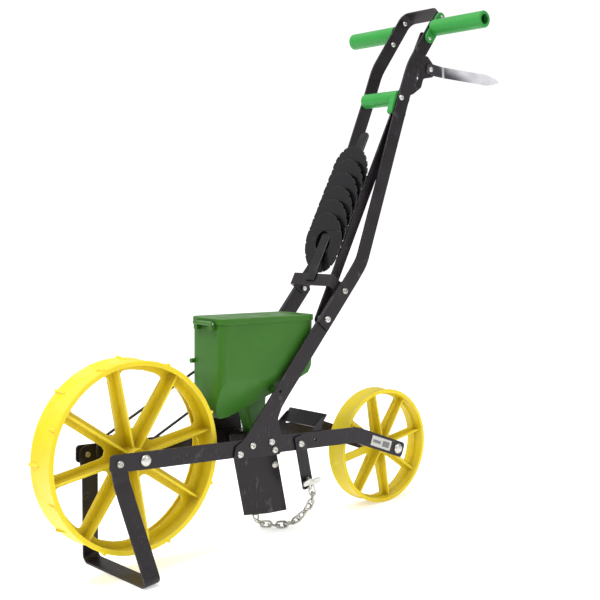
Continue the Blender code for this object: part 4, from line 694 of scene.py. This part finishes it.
def lamp(name, place, target, size, watts):
    data = bpy.data.lights.new(name, "AREA")
    data.shape = "RECTANGLE"
    data.size, data.size_y = size
    data.energy = watts
    light = bpy.data.objects.new(name, data)
    light.location = place
    aim = Vector(target) - Vector(place)
    light.rotation_euler = aim.to_track_quat("-Z", "Y").to_euler()
    bpy.context.scene.collection.objects.link(light)


def make_studio():
    """A pale floor, an even sky and two soft boxes."""
    floor = bpy.data.meshes.new("Studio floor")
    near, far = -FLOOR_REACH, FLOOR_REACH
    corners = [(near, near, 0), (far, near, 0), (far, far, 0), (near, far, 0)]
    floor.from_pydata(corners, [], [(0, 1, 2, 3)])
    ground = bpy.data.objects.new("Studio_floor", floor)
    ground.location = (0, 0, -FLOOR_DROP)
    bpy.context.scene.collection.objects.link(ground)
    material, shader = plain_finish("Pale studio floor", (0.9, 0.9, 0.9), 0.9)
    shader.inputs["Specular IOR Level"].default_value = 0.0
    shader.inputs["Emission Color"].default_value = (1, 1, 1, 1)
    shader.inputs["Emission Strength"].default_value = FLOOR_GLOW
    floor.materials.append(material)

    world = bpy.data.worlds.new("Studio air")
    bpy.context.scene.world = world
    world.use_nodes = True
    air = Sheet(world.node_tree)
    air.tree.nodes.clear()
    facing = air.add("ShaderNodeTexCoord", out="Generated")
    height = air.add("ShaderNodeSeparateXYZ", {0: facing}, out="Z")
    glow = air.fade(height, -0.1, 1.0, AIR_LOW, AIR_HIGH)
    seen = air.add("ShaderNodeLightPath", out="Is Camera Ray")
    strength = air.add("ShaderNodeMix", {0: seen, NUMBER_A: glow, NUMBER_B: BACKDROP})
    sky = air.add("ShaderNodeBackground", {"Color": (1, 1, 1, 1), "Strength": strength})
    leave = air.tree.nodes.new("ShaderNodeOutputWorld")
    air.tree.links.new(sky, leave.inputs[0])

    lamp("Overhead soft box", (-0.2, -1.2, 2.9), (0, 0, 0.3), (1.6, 1.6), 70)
    lamp("Side soft box", (2.6, 0.9, 1.6), (0, 0, 0.5), (1.4, 1.8), 14)


CAMERA_PLACE = Vector((1.92415, -1.55994, 0.74841))
CAMERA_TURN, CAMERA_DIP, CAMERA_ROLL = (math.radians(angle) for angle in (50.23, 5.76, -2.38))
CAMERA_LENS = 68.65


def make_camera():
    """The camera, from its turn, its dip below level and its roll."""
    back = Vector((
        math.sin(CAMERA_TURN) * math.cos(CAMERA_DIP),
        -math.cos(CAMERA_TURN) * math.cos(CAMERA_DIP),
        math.sin(CAMERA_DIP),
    ))
    level = Vector((math.cos(CAMERA_TURN), math.sin(CAMERA_TURN), 0))
    up = back.cross(level)
    c, s = math.cos(CAMERA_ROLL), math.sin(CAMERA_ROLL)
    across, over = c * level + s * up, -s * level + c * up
    data = bpy.data.cameras.new("Catalogue view")
    data.lens = CAMERA_LENS
    data.sensor_width = 36
    camera = bpy.data.objects.new("Catalogue view", data)
    camera.matrix_world = Matrix((across, over, back)).transposed().to_4x4()
    camera.location = CAMERA_PLACE
    bpy.context.scene.collection.objects.link(camera)
    bpy.context.scene.camera = camera


make_studio()
make_camera()
bpy.context.scene.view_settings.view_transform = "Standard"
